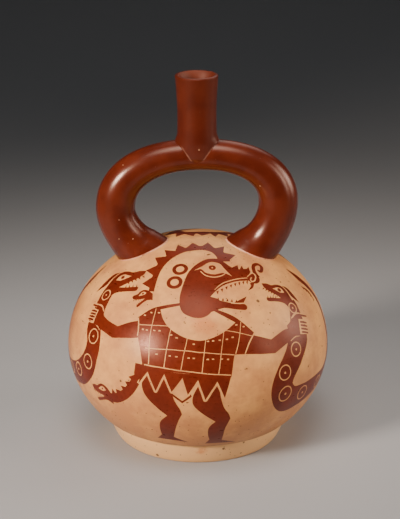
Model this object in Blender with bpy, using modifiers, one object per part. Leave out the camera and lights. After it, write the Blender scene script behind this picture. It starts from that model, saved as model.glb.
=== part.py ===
"""A stirrup spout vessel of painted and burnished earthenware.

Metres, +Z up. The origin is on the ground, under the chamber's axis, and the stirrup
lies in the XZ plane. The vessel was fired as one piece, so it is one hollow solid: the
chamber on its ring foot, two legs that rise from its shoulders and meet in an arch, and
a spout that stands on the arch. One channel runs from the mouth down both legs.
"""

import math

import bmesh
import bpy

# Chamber: two half ellipsoids on one equator
CHAMBER_RADIUS = 0.0890
CHAMBER_RISE = 0.0753
CHAMBER_FALL = 0.0714
CHAMBER_WALL = 0.0050

# Ring foot: a low band that narrows to the ground, under a shallow seam groove
FOOT_HEIGHT = 0.0160
FOOT_TOP_RADIUS = 0.0624
FOOT_BASE_RADIUS = 0.0562
FOOT_RING_WIDTH = 0.0090
FOOT_RECESS_DEPTH = 0.0070
FOOT_CURVE = 1.3
SEAM_INSET = 0.0038
SEAM_RISE = 0.0013

# Stirrup: the centreline of a tube, in four quarter arcs. Heights are over the chamber's
# top, reaches and landings are from the chamber's axis.
CROWN_HEIGHT = 0.0574
CROWN_OFFSET = 0.0028
RIGHT_REACH = 0.0530
RIGHT_WIDEST_HEIGHT = 0.0244
RIGHT_LANDING = 0.0380
LEFT_REACH = 0.0555
LEFT_WIDEST_HEIGHT = 0.0194
LEFT_LANDING = 0.0399
SHOULDER_FULLNESS = 2.24
RIGHT_LEG_FULLNESS = 1.89
LEFT_LEG_FULLNESS = 1.77

# Stirrup tube
TUBE_CROWN_RADIUS = 0.0104
TUBE_SIDE_RADIUS = 0.0131
TUBE_LANDING_RADIUS = 0.0152
TUBE_WALL = 0.0040
LANDING_FLARE_SHARPNESS = 4

# Spout: heights are over the tube's centreline at the crown
SPOUT_HEIGHT = 0.0536
SPOUT_OFFSET = -0.0012
SPOUT_LEAN = math.radians(0.7)
SPOUT_BASE_RADIUS = 0.0130
SPOUT_WAIST_RADIUS = 0.0128
SPOUT_WAIST_HEIGHT = 0.0270
SPOUT_RIM_RADIUS = 0.0142
SPOUT_FLARE_CURVE = 1.6
SPOUT_WALL = 0.0040
LIP_THICKNESS = 0.0026
LIP_ROUND = 0.0010
MOUTH_FUNNEL_DEPTH = 0.0090

# How finely the round shapes are divided
CHAMBER_SIDES = 60
CAVITY_SIDES = 40
SPOUT_SIDES = 28
TUBE_SIDES = 20
BORE_SIDES = 12
CHAMBER_STEPS = 22
CAVITY_STEPS = 14
FOOT_STEPS = 5
RECESS_STEPS = 2
ARC_STEPS = 10
ROOT_STEPS = 2
SPOUT_STEPS = 12

BOWL_EDGE_RADIUS = FOOT_TOP_RADIUS + SEAM_INSET
BOWL_EDGE_ANGLE = -math.acos(BOWL_EDGE_RADIUS / CHAMBER_RADIUS)
EQUATOR_HEIGHT = FOOT_HEIGHT + SEAM_RISE - CHAMBER_FALL * math.sin(BOWL_EDGE_ANGLE)
CHAMBER_TOP = EQUATOR_HEIGHT + CHAMBER_RISE
FLOOR_HEIGHT = FOOT_RECESS_DEPTH + CHAMBER_WALL
CROWN_Z = CHAMBER_TOP + CROWN_HEIGHT
ROOT_LENGTH = CHAMBER_WALL + TUBE_LANDING_RADIUS


def clear_scene():
    for obj in list(bpy.data.objects):
        bpy.data.objects.remove(obj)


def make_collection(name):
    collection = bpy.data.collections.new(name)
    bpy.context.scene.collection.children.link(collection)
    return collection


def make_material(name, color, roughness):
    material = bpy.data.materials.new(name)
    material.use_nodes = True
    shader = material.node_tree.nodes["Principled BSDF"]
    shader.inputs["Base Color"].default_value = (*color, 1)
    shader.inputs["Roughness"].default_value = roughness
    shader.inputs["Metallic"].default_value = 0
    material.diffuse_color = (*color, 1)
    return material


def make_turned(name, profile, sides, collection, material):
    """A solid turned about its own Z axis from (radius, height) points, top to bottom."""
    mesh = bpy.data.meshes.new(name)
    points = [(radius, 0, height) for radius, height in profile]
    edges = [(i, i + 1) for i in range(len(points) - 1)]
    mesh.from_pydata(points, edges, [])
    mesh.materials.append(material)
    obj = bpy.data.objects.new(name, mesh)
    collection.objects.link(obj)
    screw = obj.modifiers.new("Turn", "SCREW")
    screw.steps = sides
    screw.render_steps = sides
    screw.use_merge_vertices = True
    screw.merge_threshold = 0.00001
    screw.use_smooth_shade = True
    return obj


def make_tube(name, path, sides, collection, material):
    """A closed tube through (x, z, radius) points in the XZ plane."""
    curve = bpy.data.curves.new(name, "CURVE")
    curve.dimensions = "3D"
    curve.bevel_depth = TUBE_SIDE_RADIUS
    curve.bevel_resolution = (sides - 4) // 2
    curve.use_fill_caps = True
    spline = curve.splines.new("POLY")
    spline.points.add(len(path) - 1)
    for point, (x, z, radius) in zip(spline.points, path):
        point.co = (x, 0, z, 1)
        point.radius = radius / TUBE_SIDE_RADIUS
    guide = bpy.data.objects.new(name + "_guide", curve)
    collection.objects.link(guide)
    bpy.context.view_layer.update()
    evaluated = guide.evaluated_get(bpy.context.evaluated_depsgraph_get())
    mesh = bpy.data.meshes.new_from_object(evaluated)
    mesh.name = name
    welded = bmesh.new()
    welded.from_mesh(mesh)
    bmesh.ops.remove_doubles(welded, verts=welded.verts, dist=0.00001)
    bmesh.ops.recalc_face_normals(welded, faces=welded.faces)
    welded.to_mesh(mesh)
    welded.free()
    mesh.materials.clear()
    mesh.materials.append(material)
    obj = bpy.data.objects.new(name, mesh)
    obj.matrix_world = guide.matrix_world
    collection.objects.link(obj)
    bpy.data.objects.remove(guide)
    return obj


def chamber_point(angle, inset):
    """Radius and height on the chamber's wall, inset along its normal. 90 degrees is the top."""
    semi_height = CHAMBER_RISE if angle > 0 else CHAMBER_FALL
    radius = CHAMBER_RADIUS * math.cos(angle)
    height = semi_height * math.sin(angle)
    across = radius / CHAMBER_RADIUS**2
    along = height / semi_height**2
    length = math.hypot(across, along)
    return (
        radius - inset * across / length,
        EQUATOR_HEIGHT + height - inset * along / length,
    )


def chamber_profile():
    """The outer side: pole, equator, foot band, ring, and the recess under the floor."""
    top_angle = math.pi / 2
    profile = [(0, CHAMBER_TOP)]
    for step in range(1, CHAMBER_STEPS + 1):
        angle = top_angle + (BOWL_EDGE_ANGLE - top_angle) * step / CHAMBER_STEPS
        profile.append(chamber_point(angle, 0))
    for step in range(FOOT_STEPS + 1):
        share = step / FOOT_STEPS
        narrowing = (FOOT_TOP_RADIUS - FOOT_BASE_RADIUS) * share**FOOT_CURVE
        profile.append((FOOT_TOP_RADIUS - narrowing, FOOT_HEIGHT * (1 - share)))
    ring_inner = FOOT_BASE_RADIUS - FOOT_RING_WIDTH
    for step in range(RECESS_STEPS + 1):
        angle = math.pi / 2 * step / RECESS_STEPS
        inward = FOOT_RECESS_DEPTH * (1 - math.cos(angle))
        profile.append((ring_inner - inward, FOOT_RECESS_DEPTH * math.sin(angle)))
    profile.append((0, FOOT_RECESS_DEPTH))
    return profile


def cavity_profile():
    """The empty inside: the chamber's wall set in, down to a flat floor."""
    profile = [(0, CHAMBER_TOP - CHAMBER_WALL)]
    for step in range(1, 2 * CAVITY_STEPS):
        angle = math.pi / 2 - math.pi * step / (2 * CAVITY_STEPS)
        radius, height = chamber_point(angle, CHAMBER_WALL)
        if height <= FLOOR_HEIGHT:
            before_radius, before_height = profile[-1]
            share = (before_height - FLOOR_HEIGHT) / (before_height - height)
            profile.append((before_radius + share * (radius - before_radius), FLOOR_HEIGHT))
            break
        profile.append((radius, height))
    profile.append((0, FLOOR_HEIGHT))
    return profile


def leg_path(side, reach, widest_height, landing, fullness, inset):
    """(x, z, radius) points from the crown down one leg and on through the chamber's wall."""
    span = reach - side * CROWN_OFFSET
    widest_z = CHAMBER_TOP + widest_height
    across = (landing - side * CROWN_OFFSET) / span
    landing_angle = math.acos(across ** (fullness / 2))
    landing_z = EQUATOR_HEIGHT + CHAMBER_RISE * math.sqrt(1 - (landing / CHAMBER_RADIUS) ** 2)
    drop = (widest_z - landing_z) / math.sin(landing_angle) ** (2 / fullness)
    path = []
    for step in range(ARC_STEPS + 1):
        angle = math.pi / 2 * (1 - step / ARC_STEPS)
        x = span * abs(math.cos(angle)) ** (2 / SHOULDER_FULLNESS)
        z = widest_z + (CROWN_Z - widest_z) * math.sin(angle) ** (2 / SHOULDER_FULLNESS)
        radius = TUBE_SIDE_RADIUS
        radius += (TUBE_CROWN_RADIUS - TUBE_SIDE_RADIUS) * math.sin(angle) ** 2
        path.append((CROWN_OFFSET + side * x, z, radius - inset))
    for step in range(1, ARC_STEPS + 1):
        angle = landing_angle * step / ARC_STEPS
        x = span * math.cos(angle) ** (2 / fullness)
        z = widest_z - drop * math.sin(angle) ** (2 / fullness)
        flare = (math.sin(angle) / math.sin(landing_angle)) ** LANDING_FLARE_SHARPNESS
        radius = TUBE_SIDE_RADIUS + (TUBE_LANDING_RADIUS - TUBE_SIDE_RADIUS) * flare
        path.append((CROWN_OFFSET + side * x, z, radius - inset))
    (before_x, before_z, _), (end_x, end_z, end_radius) = path[-2:]
    length = math.hypot(end_x - before_x, end_z - before_z)
    for step in range(1, ROOT_STEPS + 1):
        distance = ROOT_LENGTH * step / ROOT_STEPS
        x = end_x + (end_x - before_x) / length * distance
        z = end_z + (end_z - before_z) / length * distance
        path.append((x, z, end_radius))
    return path


def stirrup_path(inset):
    """The whole arch, from inside the left shoulder over the crown to inside the right one."""
    left = leg_path(
        -1, LEFT_REACH, LEFT_WIDEST_HEIGHT, LEFT_LANDING, LEFT_LEG_FULLNESS, inset
    )
    right = leg_path(
        1, RIGHT_REACH, RIGHT_WIDEST_HEIGHT, RIGHT_LANDING, RIGHT_LEG_FULLNESS, inset
    )
    return left[:0:-1] + right


def smooth_share(value):
    value = min(max(value, 0), 1)
    return value * value * (3 - 2 * value)


def spout_radius(height):
    """Outer radius at a height over the crown: as slim as the tube there, a waist, a flare."""
    base_height = TUBE_CROWN_RADIUS
    if height < base_height:
        share = math.sqrt(1 - (1 - height / base_height) ** 2)
        return TUBE_CROWN_RADIUS + (SPOUT_BASE_RADIUS - TUBE_CROWN_RADIUS) * share
    if height < SPOUT_WAIST_HEIGHT:
        share = smooth_share((height - base_height) / (SPOUT_WAIST_HEIGHT - base_height))
        return SPOUT_BASE_RADIUS + (SPOUT_WAIST_RADIUS - SPOUT_BASE_RADIUS) * share
    share = (height - SPOUT_WAIST_HEIGHT) / (SPOUT_HEIGHT - SPOUT_WAIST_HEIGHT)
    flare = (SPOUT_RIM_RADIUS - SPOUT_WAIST_RADIUS) * share**SPOUT_FLARE_CURVE
    return SPOUT_WAIST_RADIUS + flare


def spout_profile():
    """The solid spout, from its rounded lip down to the tube's centreline."""
    corner_cut = LIP_ROUND * (1 - math.sin(math.radians(45)))
    profile = [
        (0, SPOUT_HEIGHT),
        (SPOUT_RIM_RADIUS - LIP_ROUND, SPOUT_HEIGHT),
        (SPOUT_RIM_RADIUS - corner_cut, SPOUT_HEIGHT - corner_cut),
    ]
    for step in range(SPOUT_STEPS + 1):
        height = (SPOUT_HEIGHT - LIP_ROUND) * (1 - step / SPOUT_STEPS)
        profile.append((spout_radius(height), height))
    profile.append((0, 0))
    return profile


def spout_bore_profile():
    """The spout's channel: a funnel at the mouth, then the outer form less the wall."""
    over_rim = SPOUT_HEIGHT + LIP_THICKNESS
    mouth_radius = SPOUT_RIM_RADIUS - LIP_THICKNESS
    funnel_end = SPOUT_HEIGHT - MOUTH_FUNNEL_DEPTH
    profile = [(0, over_rim), (mouth_radius, over_rim), (mouth_radius, SPOUT_HEIGHT)]
    for step in range(SPOUT_STEPS // 2 + 1):
        height = funnel_end * (1 - step / (SPOUT_STEPS // 2))
        profile.append((spout_radius(height) - SPOUT_WALL, height))
    profile.append((0, 0))
    return profile


def stand_on_crown(obj):
    """Sets a turned piece on the tube's centreline at the crown, leaning to the left."""
    obj.location = (SPOUT_OFFSET, 0, CROWN_Z)
    obj.rotation_euler = (0, -SPOUT_LEAN, 0)


def add_boolean(obj, operation, other):
    modifier = obj.modifiers.new(operation.title() + " " + other.name, "BOOLEAN")
    modifier.operation = operation
    modifier.solver = "EXACT"
    modifier.material_mode = "TRANSFER"
    modifier.object = other
    other.hide_render = True
    other.display_type = "WIRE"


def build():
    clear_scene()
    vessel_parts = make_collection("stirrup_spout_vessel")
    formers = make_collection("vessel_formers")
    cream = make_material("cream_slip", (0.62, 0.42, 0.25), 0.55)
    red = make_material("red_slip", (0.28, 0.055, 0.02), 0.32)
    bare = make_material("bare_clay", (0.45, 0.26, 0.15), 0.85)

    vessel = make_turned(
        "stirrup_spout_vessel", chamber_profile(), CHAMBER_SIDES, vessel_parts, cream
    )
    tube = make_tube("stirrup_tube", stirrup_path(0), TUBE_SIDES, formers, red)
    spout = make_turned("spout_tube", spout_profile(), SPOUT_SIDES, formers, red)
    cavity = make_turned("chamber_cavity", cavity_profile(), CAVITY_SIDES, formers, bare)
    bore = make_tube("stirrup_bore", stirrup_path(TUBE_WALL), BORE_SIDES, formers, bare)
    channel = make_turned("spout_bore", spout_bore_profile(), SPOUT_SIDES, formers, bare)
    stand_on_crown(spout)
    stand_on_crown(channel)

    add_boolean(vessel, "UNION", tube)
    add_boolean(vessel, "UNION", spout)
    add_boolean(vessel, "DIFFERENCE", cavity)
    add_boolean(vessel, "DIFFERENCE", bore)
    add_boolean(vessel, "DIFFERENCE", channel)


build()
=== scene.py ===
# %% [markdown]
# # A painted stirrup spout vessel
# The real vessel is one piece of fired clay: a round bowl on a low ring foot, a hollow stirrup
# that rises from its shoulders, and a spout on top of the stirrup. It was covered with cream
# slip, a figure was painted on each side in red slip, and all of it was rubbed with a smooth
# stone until it shone.
#
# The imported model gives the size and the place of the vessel. This lesson builds a finer skin
# of the same form over it, and paints that skin.

# %% Load the frame
import math

import bpy
import numpy as np
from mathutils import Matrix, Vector, kdtree, noise
from mathutils.geometry import delaunay_2d_cdt


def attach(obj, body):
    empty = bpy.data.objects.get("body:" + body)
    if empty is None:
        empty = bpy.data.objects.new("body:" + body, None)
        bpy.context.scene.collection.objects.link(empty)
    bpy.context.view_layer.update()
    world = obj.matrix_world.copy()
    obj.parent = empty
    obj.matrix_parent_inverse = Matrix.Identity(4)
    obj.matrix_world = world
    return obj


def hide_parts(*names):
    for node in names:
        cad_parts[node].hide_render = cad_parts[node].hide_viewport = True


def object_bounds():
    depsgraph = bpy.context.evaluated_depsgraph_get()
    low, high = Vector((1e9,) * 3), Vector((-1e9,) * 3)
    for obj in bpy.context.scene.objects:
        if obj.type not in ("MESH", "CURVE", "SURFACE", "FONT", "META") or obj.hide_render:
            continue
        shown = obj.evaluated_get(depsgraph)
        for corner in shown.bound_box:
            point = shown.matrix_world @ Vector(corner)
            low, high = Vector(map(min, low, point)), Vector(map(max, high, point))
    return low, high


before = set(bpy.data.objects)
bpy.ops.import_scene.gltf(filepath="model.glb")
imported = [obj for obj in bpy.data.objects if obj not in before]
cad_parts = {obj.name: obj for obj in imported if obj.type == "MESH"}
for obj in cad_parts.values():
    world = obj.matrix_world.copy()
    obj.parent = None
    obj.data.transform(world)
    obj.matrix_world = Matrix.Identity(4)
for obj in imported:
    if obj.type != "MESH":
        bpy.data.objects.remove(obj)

VESSEL = "stirrup_spout_vessel"
cad_box = [list(corner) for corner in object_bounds()]
print("box of the packed vessel:", cad_box)

# %% [markdown]
# ## The camera
# The photograph looks slightly down on the vessel with a long lens. The long side of the frame
# is its height, and Blender fits the sensor to the long side, so the lens length is the focal
# length in pixels times the sensor's size over the frame's height.

# %% Set up the camera
FRAME_HEIGHT_PX = 519
FOCAL_LENGTH_PX = 1541.9
SENSOR_MM = 36
CAMERA_PLACE = (0.0011, -0.979, 0.4770)
CAMERA_DOWN = 0.346
CAMERA_ROLL = 0.006

bpy.ops.object.select_all(action="DESELECT")
bpy.ops.object.camera_add(location=CAMERA_PLACE)
camera = bpy.context.object
camera.name = "photo_camera"
camera.data.sensor_width = SENSOR_MM
camera.data.lens = FOCAL_LENGTH_PX * SENSOR_MM / FRAME_HEIGHT_PX
camera.rotation_mode = "ZYX"
camera.rotation_euler = (math.pi / 2 - CAMERA_DOWN, 0, CAMERA_ROLL)
bpy.context.scene.camera = camera
print("lens in mm:", round(camera.data.lens, 2))

# %% [markdown]
# ## The stage
# A pale floor that curves up all round gives no line behind the vessel, from whichever side it
# is looked at. It could be a plane with one raised edge, but then the other sides would show
# where the plane ends. Here it is turned, as on a wheel: the edge of a round floor is extruded
# outwards and up along a quarter circle, and then straight up as a wall.

# %% Make the floor and backdrop
FLOOR_RADIUS = 1.1
SWEEP_RADIUS = 1.2
BACKDROP_HEIGHT = 2.6
STAGE_SIDES = 128
SWEEP_STEPS = 16


def plain_material(name, color, roughness):
    material = bpy.data.materials.new(name)
    material.use_nodes = True
    shader = material.node_tree.nodes["Principled BSDF"]
    shader.inputs["Base Color"].default_value = (*color, 1)
    shader.inputs["Roughness"].default_value = roughness
    return material


def select_only(obj):
    bpy.ops.object.select_all(action="DESELECT")
    obj.select_set(True)
    bpy.context.view_layer.objects.active = obj


def extrude_turned(obj, radius, height, profile):
    """Extrudes the selected round edge through (radius, height) places."""
    bpy.context.view_layer.objects.active = obj
    for next_radius, next_height in profile:
        bpy.ops.mesh.extrude_edges_move()
        share = next_radius / radius
        bpy.ops.transform.resize(value=(share, share, 1), center_override=(0, 0, height))
        bpy.ops.transform.translate(value=(0, 0, next_height - height))
        radius, height = next_radius, next_height


def make_stage():
    bpy.ops.object.select_all(action="DESELECT")
    bpy.ops.mesh.primitive_circle_add(vertices=STAGE_SIDES, radius=FLOOR_RADIUS, fill_type="NGON")
    stage = bpy.context.object
    stage.name = "floor_and_backdrop"
    sweep = []
    for step in range(1, SWEEP_STEPS + 1):
        angle = math.pi / 2 * step / SWEEP_STEPS
        across = FLOOR_RADIUS + SWEEP_RADIUS * math.sin(angle)
        sweep.append((across, SWEEP_RADIUS * (1 - math.cos(angle))))
    sweep.append((FLOOR_RADIUS + SWEEP_RADIUS, BACKDROP_HEIGHT))
    bpy.ops.object.mode_set(mode="EDIT")
    bpy.ops.mesh.select_mode(type="EDGE")
    bpy.ops.mesh.select_all(action="SELECT")
    extrude_turned(stage, FLOOR_RADIUS, 0, sweep)
    bpy.ops.mesh.select_all(action="SELECT")
    bpy.ops.mesh.normals_make_consistent(inside=True)
    bpy.ops.object.mode_set(mode="OBJECT")
    stage.data.shade_smooth()
    stage.data.materials.append(plain_material("pale_paper", (0.315, 0.318, 0.328), 0.9))
    return stage


stage = make_stage()
print("stage faces:", len(stage.data.polygons))

# %% [markdown]
# ## The light
# The shine on the real vessel tells where the lights stood. The broad spot on the left of the
# tunic and the streaks on the stirrup mirror a soft box at the front left. The pink bands on
# the right of the spout and of the right leg mirror two tall, weaker ones at the right, and
# the bright tops of the stirrup and the bowl face one overhead. A faint one stands behind, and
# one lights the backdrop. Each light's spread is narrow, as with a honeycomb grid, so that the
# backdrop falls off into shade.

# %% Light the stage
VESSEL_MIDDLE = Vector((0, 0, 0.12))


def soft_box(name, turn, height, distance, size, watts, spread, color, aim=VESSEL_MIDDLE):
    """An area light, `turn` degrees round from the front of its aim and `height` degrees up."""
    turn, height = math.radians(turn), math.radians(height)
    direction = Vector(
        (math.sin(turn) * math.cos(height), -math.cos(turn) * math.cos(height), math.sin(height))
    )
    bpy.ops.object.light_add(type="AREA", location=aim + direction * distance)
    light = bpy.context.object
    light.name = name
    light.data.shape = "RECTANGLE"
    light.data.size, light.data.size_y = size
    light.data.energy = watts
    light.data.spread = math.radians(spread)
    light.data.color = color
    light.rotation_euler = direction.to_track_quat("Z", "Y").to_euler()
    return light


WARM = (1.0, 0.86, 0.74)
SOFT_WARM = (1.0, 0.93, 0.86)
WHITE = (1.0, 1.0, 1.0)
LOW_FRONT = Vector((-0.02, -0.06, 0.05))
BEHIND = Vector((0, 0.95, 0))
soft_box("key_light", -49, 26, 1.35, (0.28, 0.30), 1.8, 40, WARM, LOW_FRONT)
soft_box("side_light", 66, 20, 1.2, (0.34, 1.1), 0.75, 50, WARM)
soft_box("far_side_light", 98, 18, 1.2, (0.60, 1.1), 1.5, 50, WARM)
soft_box("top_light", -8, 70, 0.80, (0.80, 0.64), 0.95, 46, SOFT_WARM, LOW_FRONT)
soft_box("back_light", 165, 40, 1.3, (1.0, 0.8), 0.3, 50, SOFT_WARM)
soft_box("backdrop_light", 0, 90, 1.7, (1.2, 0.8), 0.53, 80, WHITE, BEHIND)
world = bpy.data.worlds.new("studio")
bpy.context.scene.world = world
world.use_nodes = True
background = world.node_tree.nodes["Background"]
background.inputs["Color"].default_value = (0.5, 0.5, 0.5, 1)
background.inputs["Strength"].default_value = 0.145

# %% [markdown]
# ## The form of the bowl
# The bowl is two half ellipsoids that meet at its widest place. A painter works on its wall
# with two measures: how far round the bowl a spot is, and how far up the wall it lies from
# the widest place. The table below turns the second one into a radius and a height. It also
# holds the spread: how far from the middle a spot falls when the whole wall is pressed flat
# on a plane without bending any small shape.

# %% Measure the bowl's wall
BOWL_RADIUS = (cad_box[1][0] - cad_box[0][0]) / 2
BOWL_RISE = 0.0753
BOWL_FALL = 0.0714
BOWL_WALL = 0.0050
FOOT_HEIGHT = 0.0160
FOOT_TOP_RADIUS = 0.0624
FOOT_BASE_RADIUS = 0.0562
FOOT_RING_WIDTH = 0.0090
FOOT_RECESS_DEPTH = 0.0070
FOOT_CURVE = 1.3
SEAM_INSET = 0.0038
SEAM_RISE = 0.0013
MM = 0.001

bowl_edge_radius = FOOT_TOP_RADIUS + SEAM_INSET
bowl_edge_angle = -math.acos(bowl_edge_radius / BOWL_RADIUS)
equator_height = FOOT_HEIGHT + SEAM_RISE - BOWL_FALL * math.sin(bowl_edge_angle)
bowl_top = equator_height + BOWL_RISE
floor_height = FOOT_RECESS_DEPTH + BOWL_WALL


def measure_wall(samples=4000, nearest_pole=0.001):
    """Angle, arc in mm, radius in mm and spread, from the bowl's lower edge to its top."""
    root = np.linspace(math.sqrt(math.pi / 2 - bowl_edge_angle), math.sqrt(nearest_pole), samples)
    angle = math.pi / 2 - root**2
    radius = BOWL_RADIUS * np.cos(angle)
    height = np.where(angle > 0, BOWL_RISE, BOWL_FALL) * np.sin(angle)
    step = np.hypot(np.diff(radius), np.diff(height))
    arc = np.concatenate([[0], np.cumsum(step)])
    arc = arc - np.interp(0, angle, arc)
    turned = np.concatenate([[0], np.cumsum(step * 2 / (radius[1:] + radius[:-1]))])
    turned = turned - np.interp(0, angle, turned)
    return angle, arc / MM, radius / MM, np.exp(-turned)


wall_angle, wall_arc, wall_radius, wall_spread = measure_wall()
LOWEST_ARC = float(wall_arc[0])
HIGHEST_ARC = float(wall_arc[-1])
print("wall runs from", round(LOWEST_ARC, 1), "to", round(HIGHEST_ARC, 1), "mm")


def radius_at(arc):
    return float(np.interp(arc, wall_arc, wall_radius))


def semi_height(up):
    """The half height of the ellipsoid that holds the wall above or below the widest place."""
    return BOWL_RISE if up > 0 else BOWL_FALL


def on_wall(turn, arc):
    """The point on the bowl, in metres, at a turn in radians from the front and an arc in mm."""
    angle = float(np.interp(arc, wall_arc, wall_angle))
    radius = BOWL_RADIUS * math.cos(angle)
    height = equator_height + semi_height(angle) * math.sin(angle)
    return Vector((radius * math.sin(turn), -radius * math.cos(turn), height))


# %% [markdown]
# ## Cards and coats of slip
# The picture is drawn on cards. A card is a flat sheet laid on the wall, with x to the right
# and y up in millimetres. A small motif, such as a serpent's head, gets a card of its own,
# laid between two spots of the large one, so it can be reused at any size and direction.
#
# Each shape becomes one coat of slip, cream or red, and later coats cover earlier ones, as
# they would on the pot. Edges waver by a fraction of a millimetre, like a hand-held brush.
# Blender's vector noise starts from the clock unless it is given a seed, so a seed is set, and
# the waver is the same in every run.

# %% Cards, curves and coats
OUTLINE_STEP = 1.1
HAND_WAVER = 0.22
WAVER_SCALE = 120
WAVER_SEED = 7

noise.seed_set(WAVER_SEED)
coats = []


class Card:
    """A small flat sheet on the wall: x runs to the right and y up."""

    def __init__(self, turn=0, arc=0, angle=0, size=1, flip=1):
        self.turn = turn
        self.arc = arc
        self.along = (math.cos(angle), math.sin(angle))
        self.size = size
        self.flip = flip

    def spot(self, x, y):
        """Turn and arc of a place on the card."""
        x, y = x * self.size, y * self.size * self.flip
        right = x * self.along[0] - y * self.along[1]
        up = x * self.along[1] + y * self.along[0]
        arc = self.arc + up
        return self.turn + right / radius_at(arc), arc

    def between(self, start, end, flip=1):
        """A card whose x axis runs from one spot of this card to another, one unit long."""
        turn, arc = self.spot(*start)
        end_turn, end_arc = self.spot(*end)
        right = (end_turn - turn) * radius_at(end_arc)
        up = end_arc - arc
        return Card(turn, arc, math.atan2(up, right), math.hypot(right, up), flip)


def smooth(card, points):
    """A curve through points on a card, as many close places as its length asks for."""
    padded = [points[0], *points, points[-1]]
    curve = [points[0]]
    for i in range(len(points) - 1):
        before, start, end, after = padded[i : i + 4]
        length = math.dist(start, end) * card.size
        count = max(1, math.ceil(length / OUTLINE_STEP))
        for step in range(1, count + 1):
            t = step / count
            weights = (
                (-(t**3) + 2 * t**2 - t) / 2,
                (3 * t**3 - 5 * t**2 + 2) / 2,
                (-3 * t**3 + 4 * t**2 + t) / 2,
                (t**3 - t**2) / 2,
            )
            stops = (before, start, end, after)
            curve.append(tuple(sum(w * p[k] for w, p in zip(weights, stops)) for k in (0, 1)))
    return curve


def shifted(spot, right, up):
    """A spot moved by millimetres to the right and up the wall."""
    turn, arc = spot
    return turn + right / radius_at(arc + up / 2), arc + up


def add_coat(color, spots):
    """Lays one coat of slip inside a closed outline of spots, with a hand's waver."""
    wavered = []
    for spot in spots:
        waver = noise.noise_vector(on_wall(*spot) * WAVER_SCALE) * HAND_WAVER
        wavered.append(shifted(spot, waver.x, waver.z))
    coats.append((color, wavered))


def fill(card, color, *runs):
    """A coat inside runs of points. Each run is a smooth curve, and runs meet at corners."""
    outline = []
    for run in runs:
        outline.extend(smooth(card, run)[:-1] if run is not runs[-1] else smooth(card, run))
    if math.dist(outline[0], outline[-1]) * card.size < 0.05:
        outline.pop()
    add_coat(color, [card.spot(*point) for point in outline])


def corners(*points):
    """Straight runs between points, for a shape with corners."""
    return [list(pair) for pair in zip(points, points[1:] + points[:1])]


def stroke_frame(spots):
    """For each spot of a path, the unit step to its left, measured on the wall."""
    lefts = []
    for i in range(len(spots)):
        before, after = spots[max(i - 1, 0)], spots[min(i + 1, len(spots) - 1)]
        right = (after[0] - before[0]) * radius_at((after[1] + before[1]) / 2)
        up = after[1] - before[1]
        length = math.hypot(right, up)
        lefts.append((-up / length, right / length))
    return lefts


def band(card, color, points, widths, round_end=False):
    """A stroke along a smooth path. Its width in mm changes from point to point."""
    path = smooth(card, points)
    spots = [card.spot(*point) for point in path]
    lefts = stroke_frame(spots)
    counts = [max(1, math.ceil(math.dist(a, b) * card.size / OUTLINE_STEP))
              for a, b in zip(points, points[1:])]
    places = np.concatenate([[0], np.cumsum(counts)])
    width = np.interp(range(len(path)), places, widths)
    left_side = [shifted(s, l[0] * w / 2, l[1] * w / 2) for s, l, w in zip(spots, lefts, width)]
    right_side = [shifted(s, -l[0] * w / 2, -l[1] * w / 2) for s, l, w in zip(spots, lefts, width)]
    cap = []
    if round_end:
        along = (lefts[-1][1], -lefts[-1][0])
        for step in range(1, 6):
            angle = math.pi * step / 6
            reach = width[-1] / 2
            across = reach * math.cos(angle)
            ahead = reach * math.sin(angle)
            cap.append(
                shifted(
                    spots[-1],
                    lefts[-1][0] * across + along[0] * ahead,
                    lefts[-1][1] * across + along[1] * ahead,
                )
            )
    add_coat(color, left_side + cap + right_side[::-1])


def dot(card, color, x, y, radius, sides=14):
    """A round spot of slip, with its radius in mm whatever the card's size."""
    center = card.spot(x, y)
    angles = [2 * math.pi * step / sides for step in range(sides)]
    add_coat(color, [shifted(center, radius * math.cos(a), radius * math.sin(a)) for a in angles])


def ring(card, x, y, radius, width):
    """A cream ring line on red, with a small cream middle."""
    dot(card, "cream", x, y, radius, 26)
    dot(card, "red", x, y, radius - width, 22)
    dot(card, "cream", x, y, radius * 0.16, 8)


def teeth(card, color, points, count, height, lean=0.0, root=0.6):
    """Triangular teeth on the left side of a path, `height` mm tall."""
    path = smooth(card, points)
    spots = [card.spot(*point) for point in path]
    lefts = stroke_frame(spots)
    for tooth in range(count):
        start, end = (tooth * (len(path) - 1) / count, (tooth + 1) * (len(path) - 1) / count)
        middle = (start + end) / 2 + lean * (end - start)
        triangle = []
        for place, reach in ((start, -root), (end, -root), (middle, height)):
            i = min(max(round(place), 0), len(path) - 1)
            triangle.append(shifted(spots[i], lefts[i][0] * reach, lefts[i][1] * reach))
        add_coat(color, triangle)


print("cards ready; one outline step is", OUTLINE_STEP, "mm")

# %% [markdown]
# ## A serpent's head
# Four serpents' heads are on each side of the bowl, from small ones at the ends of the crest
# and the belt to the large pair that the figure holds up. All come from one drawing. Its card
# runs from the neck, at 0, to the tip of the snout, at 1.

# %% Draw a serpent's head
SNOUT_TEETH = 5
JAW_TEETH = 4
LARGE_HEAD = 20


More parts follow.
